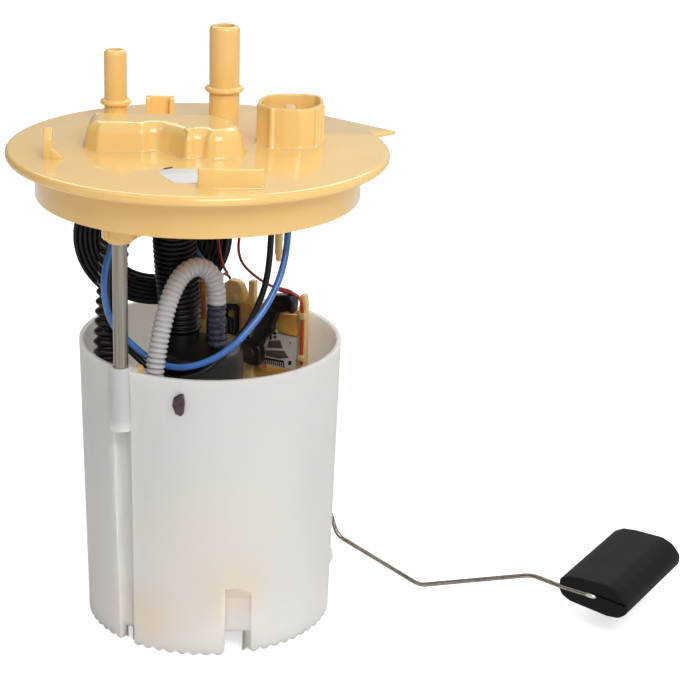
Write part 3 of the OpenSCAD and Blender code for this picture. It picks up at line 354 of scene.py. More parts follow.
def offset(outline, d):
    """Moves a closed outline out by d, along its points' normals."""
    before, after = np.roll(outline, 1, 0), np.roll(outline, -1, 0)
    e0, e1 = outline - before, after - outline
    e0 = e0 / np.linalg.norm(e0, axis=1)[:, None]
    e1 = e1 / np.linalg.norm(e1, axis=1)[:, None]
    n0, n1 = np.stack([e0[:, 1], -e0[:, 0]], 1), np.stack([e1[:, 1], -e1[:, 0]], 1)
    n = n0 + n1
    n = n / np.linalg.norm(n, axis=1)[:, None]
    mitre = 1 / np.maximum(0.5, (n * n0).sum(1))
    area = 0.5 * np.sum(outline[:, 0] * after[:, 1] - after[:, 0] * outline[:, 1])
    return outline + n * (mitre * d * np.sign(area))[:, None]


def solid(outline, levels, caps=(True, True)):
    """A body whose wall runs through levels of (offset of the outline, height), with flat caps."""
    count = len(outline)
    rings = [np.column_stack([offset(outline, d), np.full(count, z)]) for d, z in levels]
    points = np.concatenate(rings)
    faces = grid_faces(len(levels), count)
    for wanted, ring, start in ((caps[0], rings[0], 0), (caps[1], rings[-1], len(points) - count)):
        if wanted:
            triangles = tessellate_polygon([[Vector(p) for p in ring]])
            faces += [tuple(start + i for i in triangle) for triangle in triangles]
    return points, faces


def quarter(n):
    """The sines and cosines of n + 1 angles from 0 to 90 degrees."""
    angles = [math.radians(90 * i / n) for i in range(n + 1)]
    return [(math.sin(a), math.cos(a)) for a in angles]


def edge_levels(z0, z1, top=0.5, foot=0.0, flare=0.0, n=5):
    """Levels for a wall from z0 to z1 with a rounded top edge, and a rounded foot edge or a flared foot."""
    if flare:
        levels = [(flare * (1 - s), z0 + flare * (1 - c)) for s, c in quarter(n)]
    elif foot:
        levels = [(-foot * (1 - s), z0 + foot * (1 - c)) for s, c in quarter(n)]
    else:
        levels = [(0, z0)]
    if top:
        levels += [(-top * (1 - c), z1 - top * (1 - s)) for s, c in quarter(n)]
    else:
        levels += [(0, z1)]
    return levels


def slab(x0, y0, x1, y1, z0, z1, r=0.5, top=0.4, foot=0.0, flare=0.0):
    """A block with upright edges rounded by r, and its top and foot edges as in edge_levels."""
    outline = rounded_outline([(x0, y0, r), (x1, y0, r), (x1, y1, r), (x0, y1, r)], 0.6)
    return solid(outline, edge_levels(z0, z1, top, foot, flare, 3))


def moved(part, matrix=None, shift=(0, 0, 0)):
    points, faces = part
    if matrix is not None:
        points = points @ np.array(matrix, float)
    return points + np.array(shift, float), faces


def turned(part, c, s, shift):
    """Turns a body about Z by the angle with cosine c and sine s, then moves it."""
    return moved(part, [[c, s, 0], [-s, c, 0], [0, 0, 1]], shift)


def in_sender(part):
    """From the sender's frame (across, outward, up) to the part's."""
    return moved(part, [ACROSS, OUTWARD, UP], POT)


def softened(parts, voxel, passes):
    """Joins closed bodies into one skin and rounds its edges, as a moulding's are."""
    points, faces = merged(parts)
    mesh = bpy.data.meshes.new("soft")
    mesh.from_pydata([tuple(p) for p in points], [], faces)
    work = bpy.data.objects.new("soft", mesh)
    bpy.context.collection.objects.link(work)
    remesh = work.modifiers.new("remesh", "REMESH")
    remesh.mode = "VOXEL"
    remesh.voxel_size = voxel
    smooth = work.modifiers.new("smooth", "SMOOTH")
    smooth.iterations = passes
    done = bpy.data.meshes.new_from_object(work.evaluated_get(bpy.context.evaluated_depsgraph_get()))
    flat = np.empty(len(done.vertices) * 3)
    done.vertices.foreach_get("co", flat)
    faces = [tuple(f.vertices) for f in done.polygons]
    bpy.data.objects.remove(work)
    bpy.data.meshes.remove(mesh)
    bpy.data.meshes.remove(done)
    return flat.reshape(-1, 3), faces


def above(part, z):
    """The faces of a body that reach above a height."""
    points, faces = part
    return points, [f for f in faces if max(points[i][2] for i in f) > z]


def plate(corners, y0, y1, edge=0.3):
    """A plate with its outline in the sender's x-z plane, between two distances from the pot's axis."""
    levels = [(-edge, y0), (-edge * 0.3, y0 + edge * 0.3), (0, y0 + edge), (0, y1 - edge), (-edge, y1)]
    return in_sender(moved(solid(rounded_outline(corners, 0.6), levels), ALONG_Y))


def box_plate(x0, x1, z0, z1, y0, y1, r=0.4, edge=0.25):
    """A plate with four corners, between x0 and x1 and between the heights z0 and z1."""
    return plate([(x0, z0, r), (x1, z0, r), (x1, z1, r), (x0, z1, r)], y0, y1, edge)


def on_pot(corners, unevenness, height):
    """A thin domed patch on the pot's outer wall; corners are (way round in mm, height, radius)."""
    outline = rounded_outline(corners, 0.5)
    count = len(outline)
    middle = outline.mean(0)
    mean_r = 52.9  # turns a way round in mm into an angle
    dome = ((1.0, -0.1), (0.97, height * 0.6), (0.86, height), (0.5, height * 1.1), (0.05, height * 1.15))
    points = []
    for k, (share, rise) in enumerate(dome):
        for j, p in enumerate(outline):
            around, z = middle + (p - middle) * share
            rise_here = rise * (1 + unevenness * math.sin(j * 1.7 + k * 2.3))
            r = POT_FOOT_R + POT_FLARE * z / POT_HEIGHT + rise_here
            a = around / mean_r
            points.append((r * math.cos(a) + POT[0], r * math.sin(a) + POT[1], z + POT[2]))
    return np.array(points), grid_faces(len(dome), count) + [tuple(range(len(points) - count, len(points)))]


def smooth_path(points, steps):
    """A curve through all the points, with steps points from each to the next."""
    p = np.array(points, float)
    out = []
    for i in range(len(p) - 1):
        a, b, c, d = p[max(i - 1, 0)], p[i], p[i + 1], p[min(i + 2, len(p) - 1)]
        for j in range(steps):
            t = j / steps
            out.append(b + 0.5 * t * (c - a + t * (2 * a - 5 * b + 4 * c - d + t * (3 * (b - c) + d - a))))
    out.append(p[-1])
    return np.array(out)


def even_path(points, step):
    """The same line with points a step apart."""
    lengths = np.r_[0, np.cumsum(np.linalg.norm(np.diff(points, axis=0), axis=1))]
    at = np.linspace(0, lengths[-1], max(2, int(round(lengths[-1] / step)) + 1))
    return np.stack([np.interp(at, lengths, points[:, k]) for k in range(3)], 1), at


START_SIDE = [0.31, 0.95, 0.02]  # lies along no tube's first stretch
RIB_POINTS = 8  # rings of points in one rib of a hose


def tube(path, radii, sides):
    """A round tube along a path; radii is one number or one for each point."""
    radii = np.broadcast_to(np.asarray(radii, float), (len(path),))
    tangents = np.gradient(path, axis=0)
    tangents = tangents / np.linalg.norm(tangents, axis=1)[:, None]
    side = np.cross(tangents[0], START_SIDE)
    rings = []
    angles = np.arange(sides) * 2 * math.pi / sides
    for p, t, r in zip(path, tangents, radii):
        side = side - (side @ t) * t
        side = side / np.linalg.norm(side)
        other = np.cross(t, side)
        rings.append(p + r * (np.cos(angles)[:, None] * side + np.sin(angles)[:, None] * other))
    points = np.concatenate(rings)
    ends = [tuple(range(sides)), tuple(range(len(points) - sides, len(points)))]
    return points, grid_faces(len(path), sides) + ends


def corrugated(path, outer, depth, pitch, sides):
    """A hose with rings of ribs; depth is one number, or one for each end with a gradual change between."""
    line, at = even_path(path, pitch / RIB_POINTS)
    if not np.isscalar(depth):
        share = np.clip((at / at[-1] - 0.2) / 0.35, 0, 1)
        depth = depth[0] + (depth[1] - depth[0]) * share
    wave = 0.5 - 0.5 * np.cos(2 * math.pi * at / pitch)
    return tube(line, outer - depth * (1 - wave ** 0.7), sides)


def helix(r, turns, steps, low, high, centre):
    """A round coil of wire about Z, from the height low to high, with its axis through centre."""
    angles = np.arange(turns * steps + 1) * 2 * math.pi / steps
    x, y = r * np.cos(angles), r * np.sin(angles)
    return np.stack([x, y, np.linspace(low, high, len(angles))], 1) + centre


def dress(slots):
    """Gives each CAD node the material of its slot."""
    for node, slot in slots.items():
        data = frame["nodes"][node].data
        data.materials.clear()
        data.materials.append(MATERIALS[slot])


dress({s["node"]: s["material_slot"] for s in frame["record"]["subparts"]})


# Flange

def hump_outline():
    """The raised hose channel seen from above, with its scoop and its notch at the front."""
    corners = [(-44.8, 13, 3), (-44.8, -6.5, 2), (-39.4, -11.3, 2.2), (-21.2, -11.6, 2)]
    corners += [(x, y, 3) for x, y in [(-19.4, -9.4), (-15.6, -8.8), (-11, -12.6), (-6.4, -18.4)]]
    corners += [(-5, -21, 1.6), (-2.6, -21, 1.6), (-1.4, -18.7, 1.2), (2.2, -18.6, 1.2), (3.6, -20.9, 1.6)]
    corners += [(x, y, 0) for x, y in arc_points(6.4, -9.6, 11.8, -88, 30, 14)]
    corners += [(16, 2, 5), (12.5, 8, 5), (4, 13, 5)]
    return rounded_outline(corners, 0.7)


def hump():
    """The raised hose channel, rounded like a moulding and joined to the disc by a fillet."""
    edge_r, top_z = 5.4, DISC_TOP + 11
    levels = [(0.8, 1.6), (0.8, DISC_TOP - 0.4), (0.3, DISC_TOP + 1.2), (0, DISC_TOP + 3),
              (-0.5, top_z - edge_r)]
    levels += [(-0.5 - edge_r * (1 - c), top_z - edge_r * (1 - s)) for s, c in quarter(6)[1:]]
    base = slab(-60, -36, 34, 30, 1.2, DISC_TOP - 0.14, 4, 0)
    return above(softened([solid(hump_outline(), levels), base], 0.38, 6), DISC_TOP - 0.06)


def shroud_outline():
    return rounded_outline([
        (23.1, 5.2, 1.6), (28.8, -1.3, 2), (34, -3.2, 6), (41, -3.8, 5), (46, -1, 2.2), (50.3, 7.4, 3),
        (50.2, 18, 4), (48.6, 23, 3), (42.8, 25.4, 5), (35.5, 25.6, 6), (27.4, 22.6, 3), (24.4, 16, 6)], 0.6)


def nipple(place, r, h, bead_z, bead_r, bore):
    """A hose nipple of height h with a bead round it at bead_z, both from the disc's top."""
    z = DISC_TOP
    rise = bead_r - r
    half_turn = [math.radians(180 * i / 10) for i in range(11)]
    profile = [(r + 1.4, z - 0.1), (r + 0.6, z + 0.15), (r + 0.2, z + 0.6), (r, z + 1.4)]
    profile += [(r + 0.05, z + bead_z - rise * 1.3)]
    profile += [(r - 0.1 + (rise + 0.1) * math.sin(a), z + bead_z - 1.3 * math.cos(a)) for a in half_turn]
    profile += [(r, z + bead_z + rise * 1.2), (r, z + h - 1.9)]
    profile += arc_points(r - 1.7, z + h - 1.7, 1.7, 8, 90, 6)
    profile += [(bore + 0.3, z + h), (bore, z + h - 0.3), (bore, z + h - 6), (bore + 0.4, z + h - 8)]
    profile += [(bore + 0.4, z - 4), (0.01, z - 4)]
    return lathe(profile, (*place, 0), 64)


def disc_parts():
    """The disc with its pointer, and the skirt under it."""
    disc = solid(np.array(arc_points(0, 0, DISC_R, 0, 360, 200)[:-1]), edge_levels(0, DISC_TOP, 1.9, 1.7))
    corners = [(r * math.cos(math.radians(a)), r * math.sin(math.radians(a)), rounding)
               for a, r, rounding in ((48, 76.6, 0), (19.7, 86.7, 0.5), (17, 75.6, 0))]
    pointer = solid(rounded_outline([(40, 24, 0)] + corners, 1.2),
                    edge_levels(2.5, DISC_TOP - 0.02, 0.4, 0.3, n=3))
    skirt = [(65.6, 0.5), (65.45, -0.6), (65.4, -1.2), (65.4, -14.8), (65.2, -15.25), (64.8, -15.4),
             (63, -15.4), (62.55, -15.2), (62.4, -14.8), (62.4, 0.5)]
    return [disc, pointer, lathe(skirt, (0, 0, 0), 192)]


def shroud_parts():
    """The connector's shroud with its upright ribs and its key block."""
    wall = [(1.3, DISC_TOP - 0.1), (0.6, DISC_TOP + 0.15), (0.15, DISC_TOP + 0.7), (0, DISC_TOP + 1.4)]
    wall += [(0, 19.5), (-0.12, 19.9), (-0.4, 20.15), (-1.2, 20.15), (-1.48, 19.9), (-1.6, 19.5),
             (-1.6, 7.2)]
    parts = [solid(shroud_outline(), wall, (False, True))]
    for x, y, r in ((29.3, -1.5, 1.3), (46.9, 1.2, 1), (48.3, 4, 1), (49.6, 6.7, 1)):
        rib = [(r + 0.8, 3.9), (r + 0.1, 4.8), (r, 19.6), (r - 0.35, 20.1), (0.01, 20.2)]
        parts.append(lathe(rib, (x, y, 0), 24))
    return parts + [slab(34.6, -1.5, 38.8, 7.6, 7, 19.7, 0.6, 0.6)]


def top_parts():
    """The nipples, the tab with two ribs, the front plate, and the wedge with its gusset."""
    parts = [nipple(FEED_NIPPLE, 6.3, 42.3, 16, 8.1, 3.7), nipple(RETURN_NIPPLE, 4.75, 30.2, 8.3, 6.5, 2.4),
             slab(-22.4, 40, -10.6, 42, 3.9, 14.8, 0.5, 0.5, flare=0.6)]
    for x in (-22.4, -12.6):
        rib = rounded_outline([(34.8, 3.6, 0.3), (41, 3.6, 0), (41, 14.8, 0.5), (36.6, 14.8, 0.8),
                               (35.8, 6, 2)], 0.6)
        parts.append(moved(solid(rib, edge_levels(x, x + 2, 0.3, 0.3, n=3)), ALONG_X))
    front = rounded_outline([(0.6, -63.7, 0.7), (7, -64.5, 12), (19, -64.5, 12), (25.4, -63.7, 0.7),
                             (25.4, -61.6, 0.7), (19, -62.3, 12), (7, -62.3, 12), (0.6, -61.6, 0.7)], 0.8)
    parts.append(solid(front, edge_levels(3.9, 11.6, 0.6, 0, 0.9)))
    wedge = rounded_outline([(-24, 3.8, 0), (-17, 3.8, 0), (-17, 15.5, 0.9), (-24, 12.2, 0.9)], 0.6)
    parts.append(moved(solid(wedge, edge_levels(-59.9, -56.4, 0.4, 0.4, n=3)), ALONG_X))
    gusset = rounded_outline([(-57.2, 3.8, 0), (-52, 3.8, 0), (-52.4, 4.6, 0.4), (-57.2, 9, 0.6)], 0.6)
    parts.append(moved(solid(gusset, edge_levels(-24, -21.5, 0.4, 0.4, n=3)), ALONG_Y))
    return parts


def under_parts():
    """Under the disc: the ducts from the hose ports to the nipples, the rod bosses, a peg and the ports."""
    parts = []
    for start, end, r, foot in ((FEED_PORT, FEED_NIPPLE, 3.8, 5.9), (RETURN_PORT, RETURN_NIPPLE, 3.4, 4.35)):
        along = np.array(end) - start
        length = float(np.linalg.norm(along))
        duct = slab(0, -r, length, r, -6.2, 0.2, 0.5, 0, 0.5)
        parts.append(turned(duct, *along / length, (*start, 0)))
        parts.append(lathe([(foot + 0.6, 0.2), (foot, -0.6), (foot, -5.8), (foot - 0.4, -6.2), (0.01, -6.2)],
                           (*end, 0), 40))
    for angle in (math.radians(-130.5), math.radians(90)):
        x, y = ROD_CIRCLE_R * math.cos(angle) + POT[0], ROD_CIRCLE_R * math.sin(angle) + POT[1]
        boss = [(7.6, 0.2), (7.1, -0.8), (7, -1.6), (7, -21.8), (6.7, -22.2), (5.3, -22.3), (5.05, -22.6),
                (5, -23.6), (4.7, -23.9), (3.1, -23.9), (3.1, -20)]
        parts.append(lathe(boss, (x, y, 0), 48))
        rib = slab(6.2, -0.9, 8.4, 0.9, -21.6, 0.2, 0.4, 0, 0.4)
        for turn in (math.radians(-10), math.radians(110), math.radians(230)):
            parts.append(turned(rib, math.cos(turn), math.sin(turn), (x, y, 0)))
    peg = [(2.2, 0.2), (1.7, -1), (1.6, -40.4), (1.2, -41.6), (1.15, -43.2), (0.8, -43.9), (0.01, -44.1)]
    feed = [(8, 0.2), (7.1, -1), (7, -10.6), (6.6, -11), (4.8, -11), (4.6, -10.6), (4.6, 0)]
    back = [(5.4, 0.2), (4.7, -1), (4.6, -10.6), (4.3, -11), (2.9, -11), (2.7, -10.6), (2.7, 0)]
    return parts + [lathe(peg, (32.8, -0.3, 0), 24), lathe(feed, (*FEED_PORT, 0), 40),
                    lathe(back, (*RETURN_PORT, 0), 32)]


def build_flange():
    points, faces = merged(disc_parts() + [hump()] + shroud_parts() + top_parts() + under_parts())
    make("flange_moulding", points, faces, "flange_plastic", "flange", smooth=38, replaces=("flange",))
    sticker = rounded_outline([(-15.4, -40, 5), (-13.6, -46, 7), (-8.6, -56.6, 3), (4, -57.4, 4),
                               (9.6, -52, 3), (11.2, -43.4, 4), (2, -36.2, 4), (-9, -36.6, 4)], 0.8)
    make("blank_sticker", *solid(sticker, [(0, 4.0), (0, 4.12), (-0.08, 4.16)], (False, True)),
         "sticker_paper", "flange", smooth=30, replaces=("flange_sticker",))
    smear = rounded_outline([(-13.4, -36.4, 0.8), (-12, -36.9, 0.8), (-9.2, -34.6, 0.8), (-9.6, -33.4, 0.8)],
                            0.5)
    make("dark_smear", *solid(smear, [(0, 4.0), (0, 4.2), (-0.2, 4.26)], (False, True)), "sticker_paper",
         "flange", mat="dab_ink")


build_flange()


# Hoses and leads. The points of a route are in mm from the pot's axis and foot.

FEED_HOSE = [
    (-13, 1, 131.4), (-13.6, 1.2, 141), (-14.4, 0.8, 152), (-15, -0.4, 163), (-15.3, -2, 173),
    (-15.3, -2.7, 180), (-15.3, -2.7, 185.9)]
RETURN_HOSE = [
    (-34, -20, 30), (-34, -20, 46.4), (-35.2, -19.4, 62), (-37.4, -17.4, 78), (-40, -14, 94),
    (-41.6, -10.6, 108), (-41.8, -7.4, 122), (-41, -5.4, 136), (-39.8, -4.2, 150), (-38.6, -3.2, 163),
    (-37.6, -1.8, 173), (-37.3, -0.8, 180), (-37.3, -0.7, 185.9)]
JET_HOSE = [
    (2.4, -10, 120), (2.4, -10, 136.4), (2.4, -10, 140.6), (2, -10, 144.8), (0.8, -10, 149),
    (-1.7, -10.3, 152.4), (-5.4, -11.6, 154.1), (-9.2, -13.9, 153.4), (-12.4, -16.6, 150.8),
    (-15, -19.6, 146.6), (-17.2, -22.8, 141), (-18.9, -25.6, 134.2), (-20.5, -27.8, 126.4),
    (-21.9, -29.4, 117), (-22.8, -30, 106), (-23.2, -30, 92), (-23.2, -30, 76), (-23, -30, 60),
    (-23, -30, 46.4), (-23, -30, 30)]
BLUE = [
    (31.4, -4, 196.6), (31.2, -4.6, 184), (31, -6, 170), (30.2, -9, 160), (27.6, -14, 150.4),
    (22.4, -20, 140.8), (15.6, -25, 132.6), (8, -28.4, 125.6), (-1, -30.2, 120.4), (-10, -29, 117.4),
    (-17.6, -24.9, 116.4), (-22.4, -21.9, 117.2), (-27.6, -20.4, 120.2), (-33, -20, 125.2),
    (-38.2, -19.6, 130.6), (-41.2, -19.2, 138), (-42.4, -18.8, 147), (-41.6, -17.6, 156), (-39, -16, 165),
    (-36.6, -14.6, 176), (-35.4, -14, 196.6)]
BLACK = [
    (24.6, -8, 196.6), (24.4, -10, 182), (24, -12, 167), (23, -14, 154), (20.8, -16.4, 144.6),
    (16.2, -19.8, 134.4), (10.2, -23.4, 126.4), (4, -26.6, 120.6), (-2, -29.2, 116.2), (-9.6, -29.4, 113.2),
    (-15.2, -27, 111.8), (-19.2, -24, 111.6), (-23.6, -20.8, 113.2), (-28, -18.6, 116.2), (-33, -17.4, 121),
    (-37, -16.2, 126.6), (-39, -15.4, 134), (-39.6, -14.8, 145), (-38.6, -13.8, 156), (-36, -12.4, 165),
    (-33, -11, 176), (-31.6, -10.4, 196.6)]
RED_LEFT = [
    (2.2, 0, 196.6), (2.2, 1, 180), (2.4, 3, 166), (3.2, 5.6, 156.6), (4.3, 9, 149.8), (5.2, 11.6, 146.8),
    (6.1, 14.2, 144.2), (6.6, 19, 142.2), (6.6, 26, 139.6), (6.4, 33, 136.8), (5.4, 41.7, 134.2),
    (7.3, 44.3, 132.4), (7.9, 45, 131)]
RED_RIGHT = [
    (12.8, -4, 196.6), (12.6, -3, 180), (11.6, -1, 166), (11.2, 2, 157), (13.2, 7, 149.6), (18, 11, 143.4),
    (23.6, 15, 138.4), (28.4, 18.4, 135.2)]
RED_POST = [(33.6, 21.8, 132.6), (37, 23.4, 129.8), (38.6, 24.1, 125), (38.7, 24.1, 112), (38.7, 24.1, 99.4)]


def line_of(route, steps=8):
    return smooth_path(np.array(route) + POT, steps)


def heights(low, high):
    """The ends of a blend, at two heights above the pot's foot."""
    return (0, 0, POT[2] + low), (0, 0, POT[2] + high)


SMOKED_TOP = 138.5  # where the smoked end of the jet hose stops, above the pot's foot
FIRST_LEG = 80  # the path's points from the pump cap to just past the jet hose's top


def build_hoses():
    feed = line_of(FEED_HOSE)
    feed = np.concatenate([[feed[0] - [0, 0, 8]], feed])
    make("feed_hose_ribbed", *corrugated(feed, 9, 1.7, 2.2, 40), "black_hose", "pot",
         replaces=("feed_hose",), blend=heights(130, 186))
    make("return_hose_ribbed", *corrugated(line_of(RETURN_HOSE), 6, 1.7, 4.1, 32), "black_hose", "pot",
         replaces=("return_hose",), blend=heights(118, 186))
    jet = line_of(JET_HOSE, 10)
    last = max(i for i, p in enumerate(jet[:FIRST_LEG]) if p[2] - POT[2] < SMOKED_TOP)
    make("jet_hose_ribbed", *corrugated(jet[last:], 3.95, (0.45, 1.1), 2.1, 28), "clear_hose", "pot",
         replaces=("jet_hose",))
    make("jet_hose_end", *corrugated(jet[:last + 1], 3.95, 0.4, 2.6, 28), "clear_hose", "pot",
         mat="smoked_hose")


def build_leads():
    for node, route, r, sides, slot, low in (
            ("blue_lead", BLUE, 1.4, 16, "blue_insulation", 112),
            ("black_lead", BLACK, 1.3, 16, "black_insulation", 112),
            ("red_lead_left", RED_LEFT, 0.6, 12, "red_insulation", 134),
            ("red_lead_right", RED_RIGHT, 0.6, 12, "red_insulation", 134)):
        make(node + "_wire", *tube(line_of(route, 6), r, sides), slot, "pot", replaces=(node,),
             blend=heights(low, 186))
    make("red_post_wire", *tube(line_of(RED_POST, 6), 0.7, 12), "red_insulation", "pot",
         mat="orange_insulation")
    ends = np.array([RED_RIGHT[-1], RED_POST[0]], float) + POT
    path, at = even_path(ends + (ends[0] - ends[1]) * [[0.1], [-0.1]], 0.5)
    bulge = 0.68 + 0.42 * np.clip(np.sin(math.pi * at / at[-1]) * 1.8, 0, 1)
    make("splice_sleeve", *tube(path, bulge, 16), "red_insulation", "pot", replaces=("lead_splice",))


def build_coil():
    """The vent line: turns wound side by side in three layers, leaning forward at the top."""
    centre = np.array([-24.3, 16, 159]) + POT
    lean = math.radians(9.6)
    up = np.array([0, -math.sin(lean), math.cos(lean)])
    back = np.array([0, math.cos(lean), math.sin(lean)])
    right = np.array([1.0, 0, 0])
    line_r, inner_r, outer_r, layer_gap = 1.2, 18.6, 33, 2.3
    turns, steps = 6, 72
    parts = []
    for layer in (-1, 0, 1):
        angles = np.arange(turns * steps + 1) * 2 * math.pi / steps + layer * 2
        radii = np.linspace(inner_r + line_r, outer_r - line_r, len(angles))
        path = (centre + (np.cos(angles) * radii)[:, None] * right + (np.sin(angles) * radii)[:, None] * up
                + layer * layer_gap * back)
        parts.append(tube(path, line_r, 10))
    make("vent_line_turns", *merged(parts), "black_hose", "flange", replaces=("vent_coil",), mat="coil_hose",
         blend=heights(124, 177))


def build_springs():
    """The lift spring, and the outlet valve's spring, which is wound in the space of its CAD solid."""
    coil = helix(4.6, 8, 40, 123, 172.4, POT + [0, ROD_CIRCLE_R, 0])
    make("lift_spring_wire", *tube(coil, 0.6, 12), "spring_steel", "pot", replaces=("lift_spring",),
         blend=heights(122.1, 173.3))
    node = frame["nodes"]["outlet_valve_spring"]
    points = np.array([node.matrix_world @ v.co for v in node.data.vertices]) / MM
    low, high = points.min(0), points.max(0)
    wire = 0.25
    coil = helix((high[0] - low[0]) / 2 - wire, 6, 32, low[2] + wire, high[2] - wire,
                 (low + high) / 2 * [1, 1, 0])
    make("outlet_valve_spring_wire", *tube(coil, wire, 10), "spring_steel", "pot",
         replaces=("outlet_valve_spring",), blend=((0, 0, low[2]), (0, 0, high[2])),
         ends=("outlet_poppet", "pot"))


build_hoses()
build_leads()
build_coil()
build_springs()


# Float arm, in the sender's frame

PIVOT_LINE = ARM_PIVOT * [1, 0, 1]  # the arm's pivot, moved in to the pot's axis
FLOAT_NEAR, FLOAT_FAR, FLOAT_EDGE = 57, 116.5, 1.4  # its end faces from the pot's axis, and its edges
FLOAT_SHEAR = 0.026  # the float leans across as it goes outward


def bent(corners):
    """The line of a wire through corners, each bent in a curve and the first and last bends tighter."""
    path = [corners[0]]
    last = len(corners) - 1
    for i in range(1, last):
        p = corners[i]
        a, b = corners[i - 1] - p, corners[i + 1] - p
        a, b = a / np.linalg.norm(a), b / np.linalg.norm(b)
        reach = 2.2 if i in (1, last - 1) else 3.5
        for t in np.linspace(0, 1, 9):
            path.append((1 - t) ** 2 * (p + a * reach) + 2 * t * (1 - t) * p + t ** 2 * (p + b * reach))
    return np.array(path + [corners[last]])


def build_arm():
    bends = [(0, 0), (33, -87.2), (75, -100.8), (127.7, -82.1), (140.7, -83.8), (155.8, -84.6)]
    corners = [ARM_PIVOT + [0, -23, 0]] + [ARM_PIVOT + [x, 0, z] for x, z in bends]
    corners.append(corners[-1] + [0, 24, 0])
    make("float_arm_wire", *in_sender(tube(bent(corners), 1.0, 16)), "rod_steel", "float_arm",
         replaces=("float_wire",))
    outline = rounded_outline([
        (140.3, -80.6, 1), (144.4, -78.4, 2), (150, -77.9, 4), (162.4, -78.2, 6), (167.4, -80.2, 6),
        (171.3, -84.6, 4), (171.2, -89.4, 4), (167.6, -92, 4), (162.6, -92.4, 4), (145.4, -89.8, 3),
        (141.6, -87.8, 3), (140.1, -85, 1.6)], 0.5)
    edge = FLOAT_EDGE
    levels = [(-edge + edge * s, FLOAT_NEAR + edge - edge * c) for s, c in quarter(6)]
    levels += [(0, FLOAT_NEAR + y) for y in (8, 20, 32, 44, 52)]
    levels += [(-edge + edge * c, FLOAT_FAR - edge + edge * s) for s, c in quarter(6)]
    body = moved(solid(outline, levels), ALONG_Y, PIVOT_LINE)
    body = moved(body, [[1, 0, 0], [FLOAT_SHEAR, 1, 0], [0, 0, 1]], (-FLOAT_SHEAR * FLOAT_NEAR, 0, 0))
    make("float_block", *in_sender(body), "float_foam", "float_arm", replaces=("float",))
    # a near-black sheet on the float's near end paints the shade inside its slit
    slit = plate([(153, 18.7, 0), (168.4, 16.8, 0), (168.4, 17.7, 0), (153, 19.5, 0)], FLOAT_NEAR - 0.1,
                 FLOAT_NEAR + 0.4, 0.05)
    make("float_slit_shade", *slit, "float_foam", "float_arm", mat="slit_painted_shade")
    tip = corners[-2] + np.array([[-3, -0.05, 0.2], [-0.6, -0.15, 0.05], [0.9, -0.1, -0.05],
                                  [1.7, 0.2, -0.1]])
    make("float_wire_tip", *in_sender(tube(tip, [1.02, 1.08, 0.9, 0.3], 16)), "rod_steel", "float_arm",
         mat="bright_steel")


build_arm()


# Level sender, in the sender's frame, and the small pieces on and in the pot

